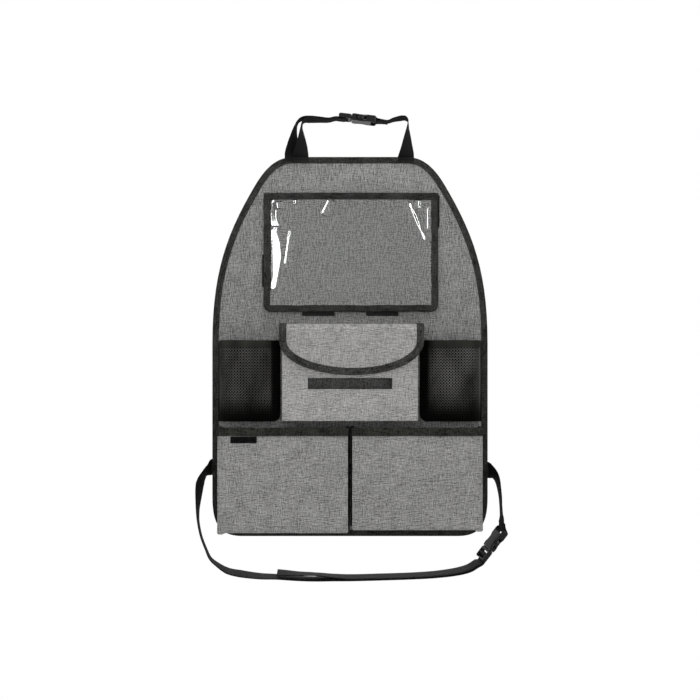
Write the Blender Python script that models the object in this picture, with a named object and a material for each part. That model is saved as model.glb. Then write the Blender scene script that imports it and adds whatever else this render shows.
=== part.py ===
"""Seat-back car organizer: a stiff fabric panel with pockets, hung by two buckled straps.

Metres, +Z up. The origin is the centre of the flat back face, which lies against the seat; the pockets
face -Y. Sheets are modelled at their real places with a small gap to each neighbour.
"""

import math

import bmesh
import bpy
from mathutils import Matrix, Vector

MM = 0.001

# Panel: the outline of the bound edge
PANEL_WIDTH = 427 * MM
PANEL_HEIGHT = 588 * MM
TOP_EDGE_HALF = 88 * MM  # straight part of the top edge
SHOULDER_HALF = 146 * MM  # half width where the shoulder meets the slanted side
SHOULDER_DROP = 42 * MM
SIDE_DROP = 290 * MM  # below the top, where the slanted side becomes vertical
CORNER_ACROSS = 46 * MM  # the bottom corners start this far from the sides and the bottom
CORNER_UP = 60 * MM
CORNER_FULLNESS = 0.72  # 0.55 is a quarter ellipse, 1 a square corner

# Cloth and tape
GAP = 0.3 * MM  # between touching pieces
FABRIC = 1.0 * MM
BOARD = 2.8 * MM
TAPE = 0.9 * MM  # thickness of binding tape
WEBBING_WIDTH = 25 * MM
WEBBING = 1.3 * MM
PANEL_LIP = 10 * MM  # how far the panel's binding laps over its edge
LINING_SLOPE = 4 * MM  # the lining steps back from its middle to its rim over this
RIM_SETBACK = 1.5 * MM  # lining rim behind the flat back face

# Box pockets along the bottom
BOX_DEPTH = 52 * MM
BOX_TOP = -PANEL_HEIGHT / 2 + 169.5 * MM
BOX_BOTTOM = {"left": -PANEL_HEIGHT / 2 + 10.5 * MM, "right": -PANEL_HEIGHT / 2 + 15 * MM}
BOX_EAR = (12 * MM, 2.6 * MM)  # the front's outer lower corner hangs this wide and this low
BOX_OUTER = PANEL_WIDTH / 2 - 12 * MM
BOX_INNER = 2.6 * MM
BOX_FRONT = 2.2 * MM  # board and cloth of the stiff front
BOX_BAND = 12 * MM
LABEL_WIDTH = 40 * MM
LABEL_DROP = 10 * MM
LABEL_INSET = 20 * MM

# Tissue pocket and its flap
TISSUE_HALF = 103.5 * MM
TISSUE_TOP = 27 * MM
TISSUE_BOTTOM = -113.5 * MM
TISSUE_DEPTH = 48 * MM
TISSUE_FRONT = 2.2 * MM
TISSUE_EAR = (7 * MM, 9 * MM)  # the gusset spreads this far out at its lower corners, over this height
SLOT_WIDTH = 128 * MM
SLOT_HEIGHT = 17 * MM
SLOT_CENTRE = -56.5 * MM
FLAP_HALF = 110 * MM
FLAP_CENTRE = 2.5 * MM  # the flap is sewn on a little to the right
FLAP_SKEW = 3 * MM  # its tip lies further right still
FLAP_TOP = 34 * MM
FLAP_STRAIGHT = 8.5 * MM  # height where the flap's sides start to curve in
FLAP_TIP = -43.5 * MM
FLAP_BEND = 7 * MM
FLAP_LIP = 11 * MM
FLAP_STAND_OFF = 3.8 * MM  # room under the flap for its closing tapes
CLOSING_TAPE = (70 * MM, 18 * MM)
CLOSING_TAPE_THICK = 1.0 * MM
CLOSING_TAPE_HEIGHT = -15 * MM

# Mesh pockets
MESH_OUTER = PANEL_WIDTH / 2 - 12.3 * MM
MESH_INNER = 107.5 * MM
MESH_TOP = 8.5 * MM
MESH_BOTTOM = -116 * MM
MESH_DEPTH = 34 * MM
MESH_CLOTH = 1.2 * MM
MESH_BAND = 10 * MM
MESH_ROUNDNESS = 3.4
MESH_SLANT = 13 * MM  # the inner side leans out by this at the full depth
MESH_CORNER = 12 * MM  # radius of the lower corner beside the tissue pocket

# Tablet pouch
POUCH_WIDTH = 270 * MM
POUCH_HEIGHT = 184 * MM
POUCH_CENTRE_X = 1.2 * MM
POUCH_CENTRE_Z = 145.5 * MM
POUCH_LIP = 10.5 * MM
POUCH_CORNER = 11 * MM
FILM = 0.6 * MM
FILM_RISE = 6.2 * MM  # the window bulges this far from the flat flange
FILM_RUN = 26 * MM  # over this width
FASTENER = (50 * MM, 20 * MM)
FASTENER_THICK = 1.8 * MM

# Straps
UPPER_LEFT_BASE = -76.7 * MM
UPPER_RIGHT_BASE = 86.6 * MM
LOWER_LEFT_BASE = -186.8 * MM
LOWER_RIGHT_BASE = -191.5 * MM
SEWN_IN = 8 * MM  # webbing hidden inside the panel's edge
LAP = 8.5 * MM  # the headrest strap laps over the binding's front this far
TWIST_ROOM = 15 * MM  # a strap comes this far forward as it turns its edge to the front
ROUTE_UNIT = 1 * MM  # the stations along the straps are given in this
HEADREST_BUCKLE = (2.6 * MM, 351.6 * MM)  # where the mouth of its socket lies, across and up
SEAT_BUCKLE = (213.4 * MM, -311.5 * MM)
LOOP_SEWN = (20 * MM, 13 * MM)  # how far the webbing is doubled past the socket's bar, upper and lower

# Side-release buckle for the webbing
BUCKLE_WIDTH = 33.5 * MM
SOCKET_LENGTH = 38 * MM
SOCKET_THICK = 10.4 * MM
PLUG_BASE = 20 * MM
PLUG_THICK = 7.0 * MM
BAR_RADIUS = 1.6 * MM
LOOP_BAR_RADIUS = 1.9 * MM
PRONG_THICK = 4.6 * MM

# Places that follow from the sizes above
PANEL_TOP = PANEL_HEIGHT / 2
PANEL_BOTTOM = -PANEL_HEIGHT / 2
SHEET_INSET = TAPE + GAP  # cloth edges sit this far inside the binding's outer edge
STRAP_Y = -(RIM_SETBACK + FABRIC + GAP + WEBBING / 2)
CLOTH_BACK = STRAP_Y - WEBBING / 2 - GAP
FACE = CLOTH_BACK - FABRIC  # front surface of the grey cloth
SEAT = FACE - GAP  # where pocket edges meet the panel
BINDING_FRONT = FACE - GAP - TAPE
LAP_Y = BINDING_FRONT - GAP - WEBBING / 2  # webbing sewn on the front of the binding
COLOURS = {
    "grey_cloth": (0.235, 0.235, 0.230),
    "black_cloth": (0.012, 0.012, 0.012),
    "black_tape": (0.026, 0.026, 0.025),
    "webbing": (0.018, 0.018, 0.018),
    "mesh": (0.020, 0.020, 0.020),
    "plastic": (0.014, 0.014, 0.014),
    "board": (0.55, 0.53, 0.50),
    "film": (0.85, 0.87, 0.88),
}
ROUGHNESS = {"plastic": 0.35, "film": 0.08}


def clear_scene():
    for found in list(bpy.data.objects):
        bpy.data.objects.remove(found)


def finish(name):
    """The material of that name, made once."""
    made = bpy.data.materials.get(name)
    if made is None:
        made = bpy.data.materials.new(name)
        made.use_nodes = True
        shader = made.node_tree.nodes["Principled BSDF"]
        shader.inputs["Base Color"].default_value = (*COLOURS[name], 1)
        shader.inputs["Roughness"].default_value = ROUGHNESS.get(name, 0.85)
        shader.inputs["Metallic"].default_value = 0
        if name == "film":
            shader.inputs["Alpha"].default_value = 0.25
    return made


def add_object(name, mesh, material):
    made = bpy.data.objects.new(name, mesh)
    bpy.context.scene.collection.objects.link(made)
    if not mesh.materials:
        mesh.materials.append(finish(material))
    return made


def loft(name, rings, material, closed=False, split=False):
    """A solid through rings of equal count: capped at both ends, or closed into a loop. split makes
    each side face two triangles, which a twisted strip needs."""
    built = bmesh.new()
    rows = [[built.verts.new(point) for point in ring] for ring in rings]
    count = len(rings[0])
    pairs = list(zip(rows, rows[1:] + rows[:1])) if closed else list(zip(rows, rows[1:]))
    for first, second in pairs:
        for i in range(count):
            j = (i + 1) % count
            if split:
                built.faces.new((first[i], first[j], second[j]))
                built.faces.new((first[i], second[j], second[i]))
            else:
                built.faces.new((first[i], first[j], second[j], second[i]))
    if not closed:
        built.faces.new(rows[0][::-1])
        built.faces.new(rows[-1])
    bmesh.ops.recalc_face_normals(built, faces=built.faces)
    mesh = bpy.data.meshes.new(name)
    built.to_mesh(mesh)
    built.free()
    mesh.shade_smooth()
    mesh.set_sharp_from_angle(angle=math.radians(35))
    return add_object(name, mesh, material)


def plate(name, outline, back, front, material):
    """A flat sheet between two depths, from an outline of (x, z) points."""
    rings = [[Vector((x, y, z)) for x, z in outline] for y in (back, front)]
    return loft(name, rings, material)


def curve_points(p0, p1, p2, p3, steps):
    """Points along a cubic Bezier, without its first."""
    found = []
    for i in range(1, steps + 1):
        t = i / steps
        s = 1 - t
        found.append(
            tuple(
                s**3 * a + 3 * s * s * t * b + 3 * s * t * t * c + t**3 * d
                for a, b, c, d in zip(p0, p1, p2, p3)
            )
        )
    return found


def arc_points(centre, radii, start, end, steps):
    """Points along an ellipse between two angles in degrees, both ends included."""
    found = []
    for i in range(steps + 1):
        angle = math.radians(start + (end - start) * i / steps)
        found.append((centre[0] + radii[0] * math.cos(angle), centre[1] + radii[1] * math.sin(angle)))
    return found


def normals_of(points, closed):
    """Unit normals to the left of a flat path, sized so that an offset keeps its distance at corners."""
    found = []
    last = len(points) - 1
    for i, point in enumerate(points):
        before = points[i - 1] if closed or i > 0 else None
        after = points[(i + 1) % len(points)] if closed or i < last else None
        sides = []
        if before is not None:
            sides.append(Vector((point[0] - before[0], point[1] - before[1])).normalized())
        if after is not None:
            sides.append(Vector((after[0] - point[0], after[1] - point[1])).normalized())
        along = sum(sides, Vector((0, 0))).normalized()
        left = Vector((-along.y, along.x))
        stretch = max(0.5, along.dot(sides[0]))
        found.append(left / stretch)
    return found


def offset(points, distance, closed=True):
    """The path moved to its left by a distance."""
    lefts = normals_of(points, closed)
    return [(p[0] + n.x * distance, p[1] + n.y * distance) for p, n in zip(points, lefts)]


def panel_outline():
    """The bound edge as (x, z), anticlockwise from the middle of the bottom, so inside is to the left."""
    half = PANEL_WIDTH / 2
    side_start = (SHOULDER_HALF, PANEL_TOP - SHOULDER_DROP)
    shoulder = curve_points(
        (TOP_EDGE_HALF, PANEL_TOP),
        (TOP_EDGE_HALF + 22 * MM, PANEL_TOP),
        (SHOULDER_HALF - 18 * MM, PANEL_TOP - 12 * MM),
        side_start,
        9,
    )
    slant = Vector((0.512, -0.859)).normalized() * 90 * MM
    side = curve_points(
        side_start,
        (side_start[0] + slant.x, side_start[1] + slant.y),
        (half, PANEL_TOP - SIDE_DROP + 110 * MM),
        (half, PANEL_TOP - SIDE_DROP),
        14,
    )
    corner = curve_points(
        (half, PANEL_BOTTOM + CORNER_UP),
        (half, PANEL_BOTTOM + CORNER_UP * (1 - CORNER_FULLNESS)),
        (half - CORNER_ACROSS * (1 - CORNER_FULLNESS), PANEL_BOTTOM),
        (half - CORNER_ACROSS, PANEL_BOTTOM),
        12,
    )
    corner = [(half, PANEL_BOTTOM + CORNER_UP)] + corner
    down_right = [(TOP_EDGE_HALF, PANEL_TOP)] + shoulder + side + corner
    up_left = [(-x, z) for x, z in down_right]
    return down_right[::-1] + up_left


def inset_outline(distance):
    return offset(panel_outline(), distance)


def channel_section(lip, span, inner_first=False):
    """A folded tape round an edge: (inward, depth) points, open inwards, span deep outside."""
    return [
        (0, 0),
        (lip, 0),
        (lip, TAPE),
        (TAPE, TAPE),
        (TAPE, span - TAPE),
        (lip, span - TAPE),
        (lip, span),
        (0, span),
    ]


def flat_channel(name, path, lip, rear, front, material, closed):
    """A folded tape along a flat (x, z) path, between two depths, with its lips to the path's left."""
    section = channel_section(lip, rear - front)
    lefts = normals_of(path, closed)
    rings = []
    for (x, z), left in zip(path, lefts):
        rings.append([Vector((x + left.x * a, front + b, z + left.y * a)) for a, b in section])
    return loft(name, rings, material, closed)


def cut(target, low, high, name):
    """Takes a box out of an object with a hidden cutter."""
    mesh = bpy.data.meshes.new(name)
    built = bmesh.new()
    bmesh.ops.create_cube(built, size=1)
    size = Vector(high) - Vector(low)
    centre = (Vector(high) + Vector(low)) / 2
    bmesh.ops.transform(built, matrix=Matrix.Translation(centre) @ Matrix.Diagonal((*size, 1)), verts=built.verts)
    built.to_mesh(mesh)
    built.free()
    return cut_with(target, mesh, name)


def cut_with(target, mesh, name):
    cutter = bpy.data.objects.new(name, mesh)
    bpy.context.scene.collection.objects.link(cutter)
    cutter.hide_render = True
    cutter.display_type = "WIRE"
    modifier = target.modifiers.new(name, "BOOLEAN")
    modifier.object = cutter
    modifier.operation = "DIFFERENCE"
    modifier.solver = "EXACT"
    return cutter


def make_panel():
    """Grey cloth, board and lining, with the tape that binds their edges."""
    cloth_edge = inset_outline(SHEET_INSET)
    plate("front_cloth", cloth_edge, CLOTH_BACK, FACE, "grey_cloth")

    board_edge = inset_outline(PANEL_LIP + LINING_SLOPE + GAP)
    board_back = -(FABRIC + GAP)
    plate("stiffener_board", board_edge, board_back, board_back - BOARD, "board")

    flat = inset_outline(PANEL_LIP + LINING_SLOPE)
    foot = inset_outline(PANEL_LIP + GAP)
    rear = [(cloth_edge, -RIM_SETBACK), (foot, -RIM_SETBACK), (flat, 0)]
    rings = [[Vector((x, y, z)) for x, z in outline] for outline, y in rear]
    rings += [[Vector((x, y - FABRIC, z)) for x, z in outline] for outline, y in rear[::-1]]
    make_lining(rings)

    binding_back = -(RIM_SETBACK - GAP - TAPE)
    binding = flat_channel(
        "panel_binding", panel_outline(), PANEL_LIP, binding_back, BINDING_FRONT, "black_tape", True
    )
    slit = (WEBBING_WIDTH / 2 + 1 * MM, WEBBING / 2 + 0.6 * MM)
    for label, side, z in (("left", -1, LOWER_LEFT_BASE), ("right", 1, LOWER_RIGHT_BASE)):
        edge = side * PANEL_WIDTH / 2
        low = (edge - 2 * TAPE, STRAP_Y - slit[1], z - slit[0])
        high = (edge + 2 * TAPE, STRAP_Y + slit[1], z + slit[0])
        cut(binding, low, high, f"lower_{label}_slit")


def make_lining(rings):
    """The back lining: a sheet that steps out to the flat back face, closed across the middle."""
    built = bmesh.new()
    rows = [[built.verts.new(point) for point in ring] for ring in rings]
    count = len(rings[0])
    middle = len(rings) // 2
    for k in range(len(rows)):
        following = (k + 1) % len(rows)
        if k == middle - 1:
            continue
        for i in range(count):
            j = (i + 1) % count
            built.faces.new((rows[k][i], rows[k][j], rows[following][j], rows[following][i]))
    built.faces.new(rows[middle - 1])
    built.faces.new(rows[middle][::-1])
    bmesh.ops.recalc_face_normals(built, faces=built.faces)
    mesh = bpy.data.meshes.new("back_lining")
    built.to_mesh(mesh)
    built.free()
    add_object("back_lining", mesh, "black_cloth")


def wall(name, rear, front, thickness, sag, y_rear, y_front, material):
    """A cloth gusset lofted from its seam on the panel to the edge of the front, sagging in between."""
    rows = []
    middle = [((r[0] + f[0]) / 2, (r[1] + f[1]) / 2) for r, f in zip(rear, front)]
    rows.append((rear, y_rear))
    rows.append((offset(middle, sag, False), (y_rear + y_front) / 2))
    rows.append((front, y_front))
    outer = [[Vector((x, y, z)) for x, z in path] for path, y in rows]
    inner = [[Vector((x, y, z)) for x, z in offset(path, thickness, False)] for path, y in rows]
    rings = []
    for i in range(len(rear)):
        rings.append([row[i] for row in outer] + [row[i] for row in inner[::-1]])
    return loft(name, rings, material)


def spread_corners(left, right, top, bottom, out, rise):
    """The same path with small corners that stand out past the sides by out."""
    path = u_path(left, right, top, (3 * MM, 3 * MM), (3 * MM, 3 * MM), bottom)
    found = []
    for x, z in path[1:-1]:
        found.append((x + math.copysign(out, x) * max(0, 1 - (z - bottom) / rise), z))
    return [path[0], (left, bottom + rise)] + found + [(right, bottom + rise), path[-1]]


def u_path(left, right, top, left_corner, right_corner, bottom, steps=6):
    """Down the left side, along the bottom and up the right: (x, z), inside to the left."""
    lower_left = arc_points(
        (left + left_corner[0], bottom + left_corner[1]), left_corner, 180, 270, steps
    )
    lower_right = arc_points(
        (right - right_corner[0], bottom + right_corner[1]), right_corner, 270, 360, steps
    )
    return [(left, top)] + lower_left + lower_right + [(right, top)]


def top_channel(name, path, height, rear_lip, material, top, width):
    """A folded tape over a wall's top edge: path is (x, y) of the wall's outer face, inside to the left."""
    lefts = normals_of(path, False)
    section = [
        (-GAP - TAPE, top - height),
        (-GAP, top - height),
        (-GAP, top + GAP),
        (width + GAP, top + GAP),
        (width + GAP, top - rear_lip),
        (width + GAP + TAPE, top - rear_lip),
        (width + GAP + TAPE, top + GAP + TAPE),
        (-GAP - TAPE, top + GAP + TAPE),
    ]
    rings = []
    for (x, y), left in zip(path, lefts):
        rings.append([Vector((x + left.x * a, min(SEAT, y + left.y * a), z)) for a, z in section])
    return loft(name, rings, material)


def make_box_pocket(label, side):
    """A stiff-fronted box pocket: gusset, front and bound top edge. side is -1 on the left."""
    outer, inner = side * BOX_OUTER, side * BOX_INNER
    left, right = min(outer, inner), max(outer, inner)
    small = (3 * MM, 3 * MM)
    sewn = (CORNER_ACROSS - 14 * MM, CORNER_UP - 18 * MM)
    left_sewn, right_sewn = (sewn, small) if side < 0 else (small, sewn)
    bottom = BOX_BOTTOM[label]
    rear = u_path(left, right, BOX_TOP, left_sewn, right_sewn, bottom)
    front = u_path(left, right, BOX_TOP, small, small, bottom)
    y_front = SEAT - BOX_DEPTH
    wall(f"{label}_box_gusset", rear, front, FABRIC, 1.5 * MM, SEAT, y_front, "black_cloth")

    plate_back = y_front - GAP
    plate_front = plate_back - BOX_FRONT
    plate(f"{label}_box_front", box_outline(left, right, bottom, side), plate_back, plate_front, "grey_cloth")

    path = [(right, SEAT), (right, plate_front), (left, plate_front), (left, SEAT)]
    top_channel(
        f"{label}_box_binding", path[::-1], BOX_BAND, BOX_BAND, "black_tape", BOX_TOP, BOX_FRONT
    )
    return plate_front


def box_outline(left, right, bottom, side):
    """The outline of a box pocket's front, with the sewn ear at its outer lower corner."""
    small = (3 * MM, 3 * MM)
    path = u_path(left, right, BOX_TOP, small, small, bottom, 3)
    wide, low = BOX_EAR
    outer = left if side < 0 else right
    inwards = -side
    ear = [
        (outer, bottom + 7 * MM),
        (outer + inwards * 0.3 * MM, bottom - low + 0.8 * MM),
        (outer + inwards * 1.1 * MM, bottom - low),
        (outer + inwards * (wide - 1.5 * MM), bottom - low + 0.3 * MM),
        (outer + inwards * (wide + 1 * MM), bottom),
    ]
    if side < 0:
        return [path[0]] + ear + path[5:]
    return path[:5] + ear[::-1] + [path[-1]]


def make_label(front):
    """A blank woven label under the left pocket's binding."""
    left = -BOX_OUTER + LABEL_INSET
    top = BOX_TOP - BOX_BAND - GAP
    outline = [(left, top), (left, top - LABEL_DROP), (left + LABEL_WIDTH, top - LABEL_DROP), (left + LABEL_WIDTH, top)]
    plate("blank_label", outline, front - GAP, front - GAP - TAPE, "black_tape")


def superellipse(angle, power):
    """(across, out) on a unit superellipse, from (-1, 0) at 0 to (1, 0) at 180 degrees."""
    across = -math.copysign(abs(math.cos(angle)) ** (2 / power), math.cos(angle))
    return across, abs(math.sin(angle)) ** (2 / power)


def mesh_point(side, u, v, shrink):
    """A point of a mesh pocket's cloth: u runs across it and v down it, both from 0 to 1."""
    centre = side * (MESH_OUTER + MESH_INNER) / 2
    half = (MESH_OUTER - MESH_INNER) / 2 - shrink
    height = MESH_TOP - MESH_BOTTOM - shrink
    across, out = superellipse(math.pi * u, MESH_ROUNDNESS)
    down, hold = superellipse(math.pi / 2 * (1 + v), MESH_ROUNDNESS)
    inner = (1 - side * across) / 2
    z = MESH_TOP - height * down
    lean = MESH_SLANT * out * hold + corner_inset(z - MESH_BOTTOM, MESH_CORNER)
    return Vector((centre + half * across + side * inner * lean, SEAT - (MESH_DEPTH - shrink) * out * hold, z))


def make_mesh_pocket(label, side):
    """A bulging net pocket sewn to the panel on three sides, with an elastic band along its mouth."""
    across_steps, down_steps = 18, 10

    def surface(shrink):
        rows = []
        for j in range(down_steps + 1):
            v = j / down_steps
            rows.append([mesh_point(side, i / across_steps, v, shrink) for i in range(across_steps + 1)])
        return rows

    shell_between(f"{label}_mesh_pocket", surface(0), surface(MESH_CLOTH), "mesh")
    path = [mesh_point(side, i / across_steps, 0, 0) for i in range(across_steps + 1)]
    path = [(point.x, point.y) for point in path]
    top_channel(f"{label}_mesh_band", path, MESH_BAND, MESH_BAND, "black_tape", MESH_TOP, MESH_CLOTH)


def shell_between(name, outer, inner, material):
    """A shell from two grids of points that share their layout, closed round the edges."""
    built = bmesh.new()
    grids = [[[built.verts.new(p) for p in row] for row in grid] for grid in (outer, inner)]
    for grid in grids:
        for upper, lower in zip(grid, grid[1:]):
            for i in range(len(upper) - 1):
                built.faces.new((upper[i], upper[i + 1], lower[i + 1], lower[i]))
    rims = []
    for grid in grids:
        sides = [row[-1] for row in grid[1:-1]], [row[0] for row in grid[1:-1]]
        rims.append(grid[0] + sides[0] + grid[-1][::-1] + sides[1][::-1])
    count = len(rims[0])
    for i in range(count):
        j = (i + 1) % count
        built.faces.new((rims[0][i], rims[0][j], rims[1][j], rims[1][i]))
    bmesh.ops.recalc_face_normals(built, faces=built.faces)
    mesh = bpy.data.meshes.new(name)
    built.to_mesh(mesh)
    built.free()
    mesh.shade_smooth()
    mesh.set_sharp_from_angle(angle=math.radians(40))
    return add_object(name, mesh, material)


def make_tissue_pocket():
    """The centre pocket: gusset, slotted front, closing tapes, flap and flap binding."""
    front_corner = (3 * MM, 3 * MM)
    out, rise = TISSUE_EAR
    rear = spread_corners(-TISSUE_HALF, TISSUE_HALF, TISSUE_TOP, TISSUE_BOTTOM, out, rise)
    front = spread_corners(-TISSUE_HALF, TISSUE_HALF, TISSUE_TOP, TISSUE_BOTTOM, 0, rise)
    y_front = SEAT - TISSUE_DEPTH
    wall("tissue_gusset", rear, front, FABRIC, 1.5 * MM, SEAT, y_front, "grey_cloth")

    plate_back = y_front - GAP
    plate_front = plate_back - TISSUE_FRONT
    outline = u_path(-TISSUE_HALF, TISSUE_HALF, TISSUE_TOP, front_corner, front_corner, TISSUE_BOTTOM, 3)
    face = plate("tissue_front", outline, plate_back, plate_front, "grey_cloth")
    low = (-SLOT_WIDTH / 2, plate_front - 5 * MM, SLOT_CENTRE - SLOT_HEIGHT / 2)
    high = (SLOT_WIDTH / 2, plate_back + 5 * MM, SLOT_CENTRE + SLOT_HEIGHT / 2)
    cut(face, low, high, "tissue_slot")

    flap_y = plate_front - FLAP_STAND_OFF
    width, height = CLOSING_TAPE
    outline = rectangle(0, CLOSING_TAPE_HEIGHT, width, height)
    loop_back = plate_front - GAP
    plate("pocket_loop_tape", outline, loop_back, loop_back - CLOSING_TAPE_THICK, "black_tape")
    hook_back = loop_back - CLOSING_TAPE_THICK - GAP
    plate("flap_hook_tape", outline, hook_back, hook_back - CLOSING_TAPE_THICK, "black_tape")
    make_flap(flap_y)


def rectangle(x, z, width, height):
    return [
        (x - width / 2, z - height / 2),
        (x + width / 2, z - height / 2),
        (x + width / 2, z + height / 2),
        (x - width / 2, z + height / 2),
    ]


def flap_fold(flap_y):
    """Maps flap cloth from the flat, (across, height, out), to its place: down the front, over the bend
    and back to its seam on the panel. Height is real on the front and runs on over the top."""
    bend_height = FLAP_TOP - FLAP_BEND
    turn = FLAP_BEND * math.pi / 2

    def place(across, height, out):
        over = height - bend_height
        across += FLAP_CENTRE
        if over <= 0:
            return Vector((across, flap_y - out, height))
        if over < turn:
            angle = over / FLAP_BEND
            radius = FLAP_BEND + out
            return Vector(
                (
                    across,
                    flap_y + FLAP_BEND - radius * math.cos(angle),
                    bend_height + radius * math.sin(angle),
                )
            )
        return Vector((across, flap_y + FLAP_BEND + over - turn, FLAP_TOP + out))

    seam = bend_height + turn + (SEAT - flap_y - FLAP_BEND)
    return place, bend_height, turn, seam


def flap_curve(side):
    """The lower edge of the flap from the end of a straight side to its tip."""
    return curve_points(
        (side, FLAP_STRAIGHT),
        (side, FLAP_STRAIGHT - 30 * MM),
        (FLAP_SKEW + 0.56 * (side - FLAP_SKEW), FLAP_TIP),
        (FLAP_SKEW, FLAP_TIP),
        10,
    )


def make_flap(flap_y):
    place, bend_height, turn, seam = flap_fold(flap_y)
    side = FLAP_HALF
    bend = [(side, bend_height + turn * (5 - i) / 5) for i in range(6)]
    straight = [(side, seam)] + bend + [(side, FLAP_STRAIGHT)]
    left_edge = [(-x, z) for x, z in straight] + flap_curve(-side)
    right_edge = straight + flap_curve(side)
    edge = left_edge + right_edge[-2::-1]

    cloth = offset(edge, SHEET_INSET, False)
    rows = len(right_edge) - 1
    rings = []
    for i in range(rows):
        left, right = cloth[i], cloth[len(cloth) - 1 - i]
        corners = [(left, FABRIC / 2), (right, FABRIC / 2), (right, -FABRIC / 2), (left, -FABRIC / 2)]
        rings.append([place(x, z, out) for (x, z), out in corners])
    loft("tissue_flap", rings, "grey_cloth")

    reach = FABRIC / 2 + GAP + TAPE
    section = channel_section(FLAP_LIP, 2 * reach)
    lefts = normals_of(edge, False)
    rings = []
    for (x, z), left in zip(edge, lefts):
        rings.append([place(x + left.x * a, z + left.y * a, reach - b) for a, b in section])
    loft("flap_binding", rings, "black_tape")


def smooth_step(value):
    value = min(1, max(0, value))
    return value * value * (3 - 2 * value)


def make_tablet_pouch():
    """The removable tablet pouch: back cloth, clear window, bound edges and its four fastener tapes."""
    half = POUCH_WIDTH / 2
    left, right = POUCH_CENTRE_X - half, POUCH_CENTRE_X + half
    top, bottom = POUCH_CENTRE_Z + POUCH_HEIGHT / 2, POUCH_CENTRE_Z - POUCH_HEIGHT / 2
    make_pouch_fasteners(left, right, top, bottom)

    rear = SEAT - FASTENER_THICK - GAP
    cloth_back = rear - TAPE - GAP
    film_back = cloth_back - FABRIC - GAP
    front = film_back - FILM - GAP - TAPE
    corner = (POUCH_CORNER, POUCH_CORNER)
    arms_top = top - POUCH_LIP - GAP
    path = u_path(left, right, arms_top, corner, corner, bottom, 5)
    flat_channel("pouch_binding", path, POUCH_LIP, rear, front, "black_tape", False)

    cloth = offset(path, SHEET_INSET, False)
    plate("pouch_back", cloth, cloth_back, cloth_back - FABRIC, "grey_cloth")

    clear_half = half - SHEET_INSET
    flange = POUCH_LIP + GAP

    def bulge(x, z):
        sideways = smooth_step((half - flange - abs(x - POUCH_CENTRE_X)) / FILM_RUN)
        upward = smooth_step((z - bottom - flange) / FILM_RUN)
        return FILM_RISE * sideways * upward

    def spread(length, start):
        """Grid lines from an edge: one at the flange, then close together over the rise."""
        return [start, start + flange - SHEET_INSET] + [start + flange + FILM_RUN * i / 5 for i in range(1, 6)]

    xs = spread(clear_half, -clear_half)
    xs = xs + [0] + [-x for x in xs[::-1]]
    low = bottom + SHEET_INSET
    zs = spread(POUCH_HEIGHT, low) + [POUCH_CENTRE_Z, top - SHEET_INSET]

    def sheet(out):
        rows = []
        for z in zs[::-1]:
            cut_in = corner_inset(z - low, POUCH_CORNER - SHEET_INSET)
            row = []
            for x in xs:
                kept = max(-clear_half + cut_in, min(clear_half - cut_in, x))
                place = POUCH_CENTRE_X + kept
                row.append(Vector((place, film_back - out - bulge(place, z), z)))
            rows.append(row)
        return rows

    shell_between("clear_window", sheet(FILM), sheet(0), "film")

    band = []
    for x in [-half, *xs[1:-1], half]:
        band.append((POUCH_CENTRE_X + x, film_back - bulge(POUCH_CENTRE_X + x, top)))
    section = [
        (FILM + GAP + TAPE, top - POUCH_LIP),
        (FILM + GAP, top - POUCH_LIP),
        (FILM + GAP, top - TAPE),
        (-GAP, top - TAPE),
        (-GAP, top - POUCH_LIP),
        (-GAP - TAPE, top - POUCH_LIP),
        (-GAP - TAPE, top),
        (FILM + GAP + TAPE, top),
    ]
    rings = [[Vector((x, y - out, z)) for out, z in section] for x, y in band]
    loft("window_binding", rings, "black_tape")


def corner_inset(height, radius):
    """How far a rounded lower corner pulls the side in at a height above the bottom edge."""
    if height >= radius:
        return 0
    return radius - math.sqrt(radius**2 - (radius - height) ** 2)


def make_pouch_fasteners(left, right, top, bottom):
    """Hook-and-loop tapes between the panel and the pouch; each shows a little past the binding."""
    long_side, short_side = FASTENER
    show = 2.5 * MM
    places = {
        "left_fastener": (left - show + short_side / 2, POUCH_CENTRE_Z - 28 * MM, short_side, long_side),
        "right_fastener": (right + show - short_side / 2, top - 28 * MM, short_side, long_side),
        "lower_left_fastener": (-49 * MM, bottom - 6 * MM + short_side / 2, long_side, short_side),
        "lower_right_fastener": (50 * MM, bottom - 6 * MM + short_side / 2, long_side, short_side),
    }
    for name, (x, z, width, height) in places.items():
        plate(name, rectangle(x, z, width, height), SEAT, SEAT - FASTENER_THICK, "black_tape")


class Buckle:
    """Where a closed buckle lies: its mouth, its axis from plug to socket, and how far it is turned."""

    def __init__(self, name, mouth, slope, turned):
        self.name = name
        self.mouth = Vector(mouth)
        self.along = Vector((math.cos(slope), 0, math.sin(slope)))
        up = Vector((-math.sin(slope), 0, math.cos(slope)))
        depth = Vector((0, 1, 0))
        self.across = up * math.cos(turned) + depth * math.sin(turned)
        self.thick = up * math.sin(turned) - depth * math.cos(turned)

    def place(self, along, thick, across=0.0):
        return self.mouth + self.along * along + self.across * across + self.thick * thick

    def matrix(self):
        axes = Matrix((self.along, self.across, self.along.cross(self.across))).transposed()
        return Matrix.Translation(self.mouth) @ axes.to_4x4()


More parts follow.
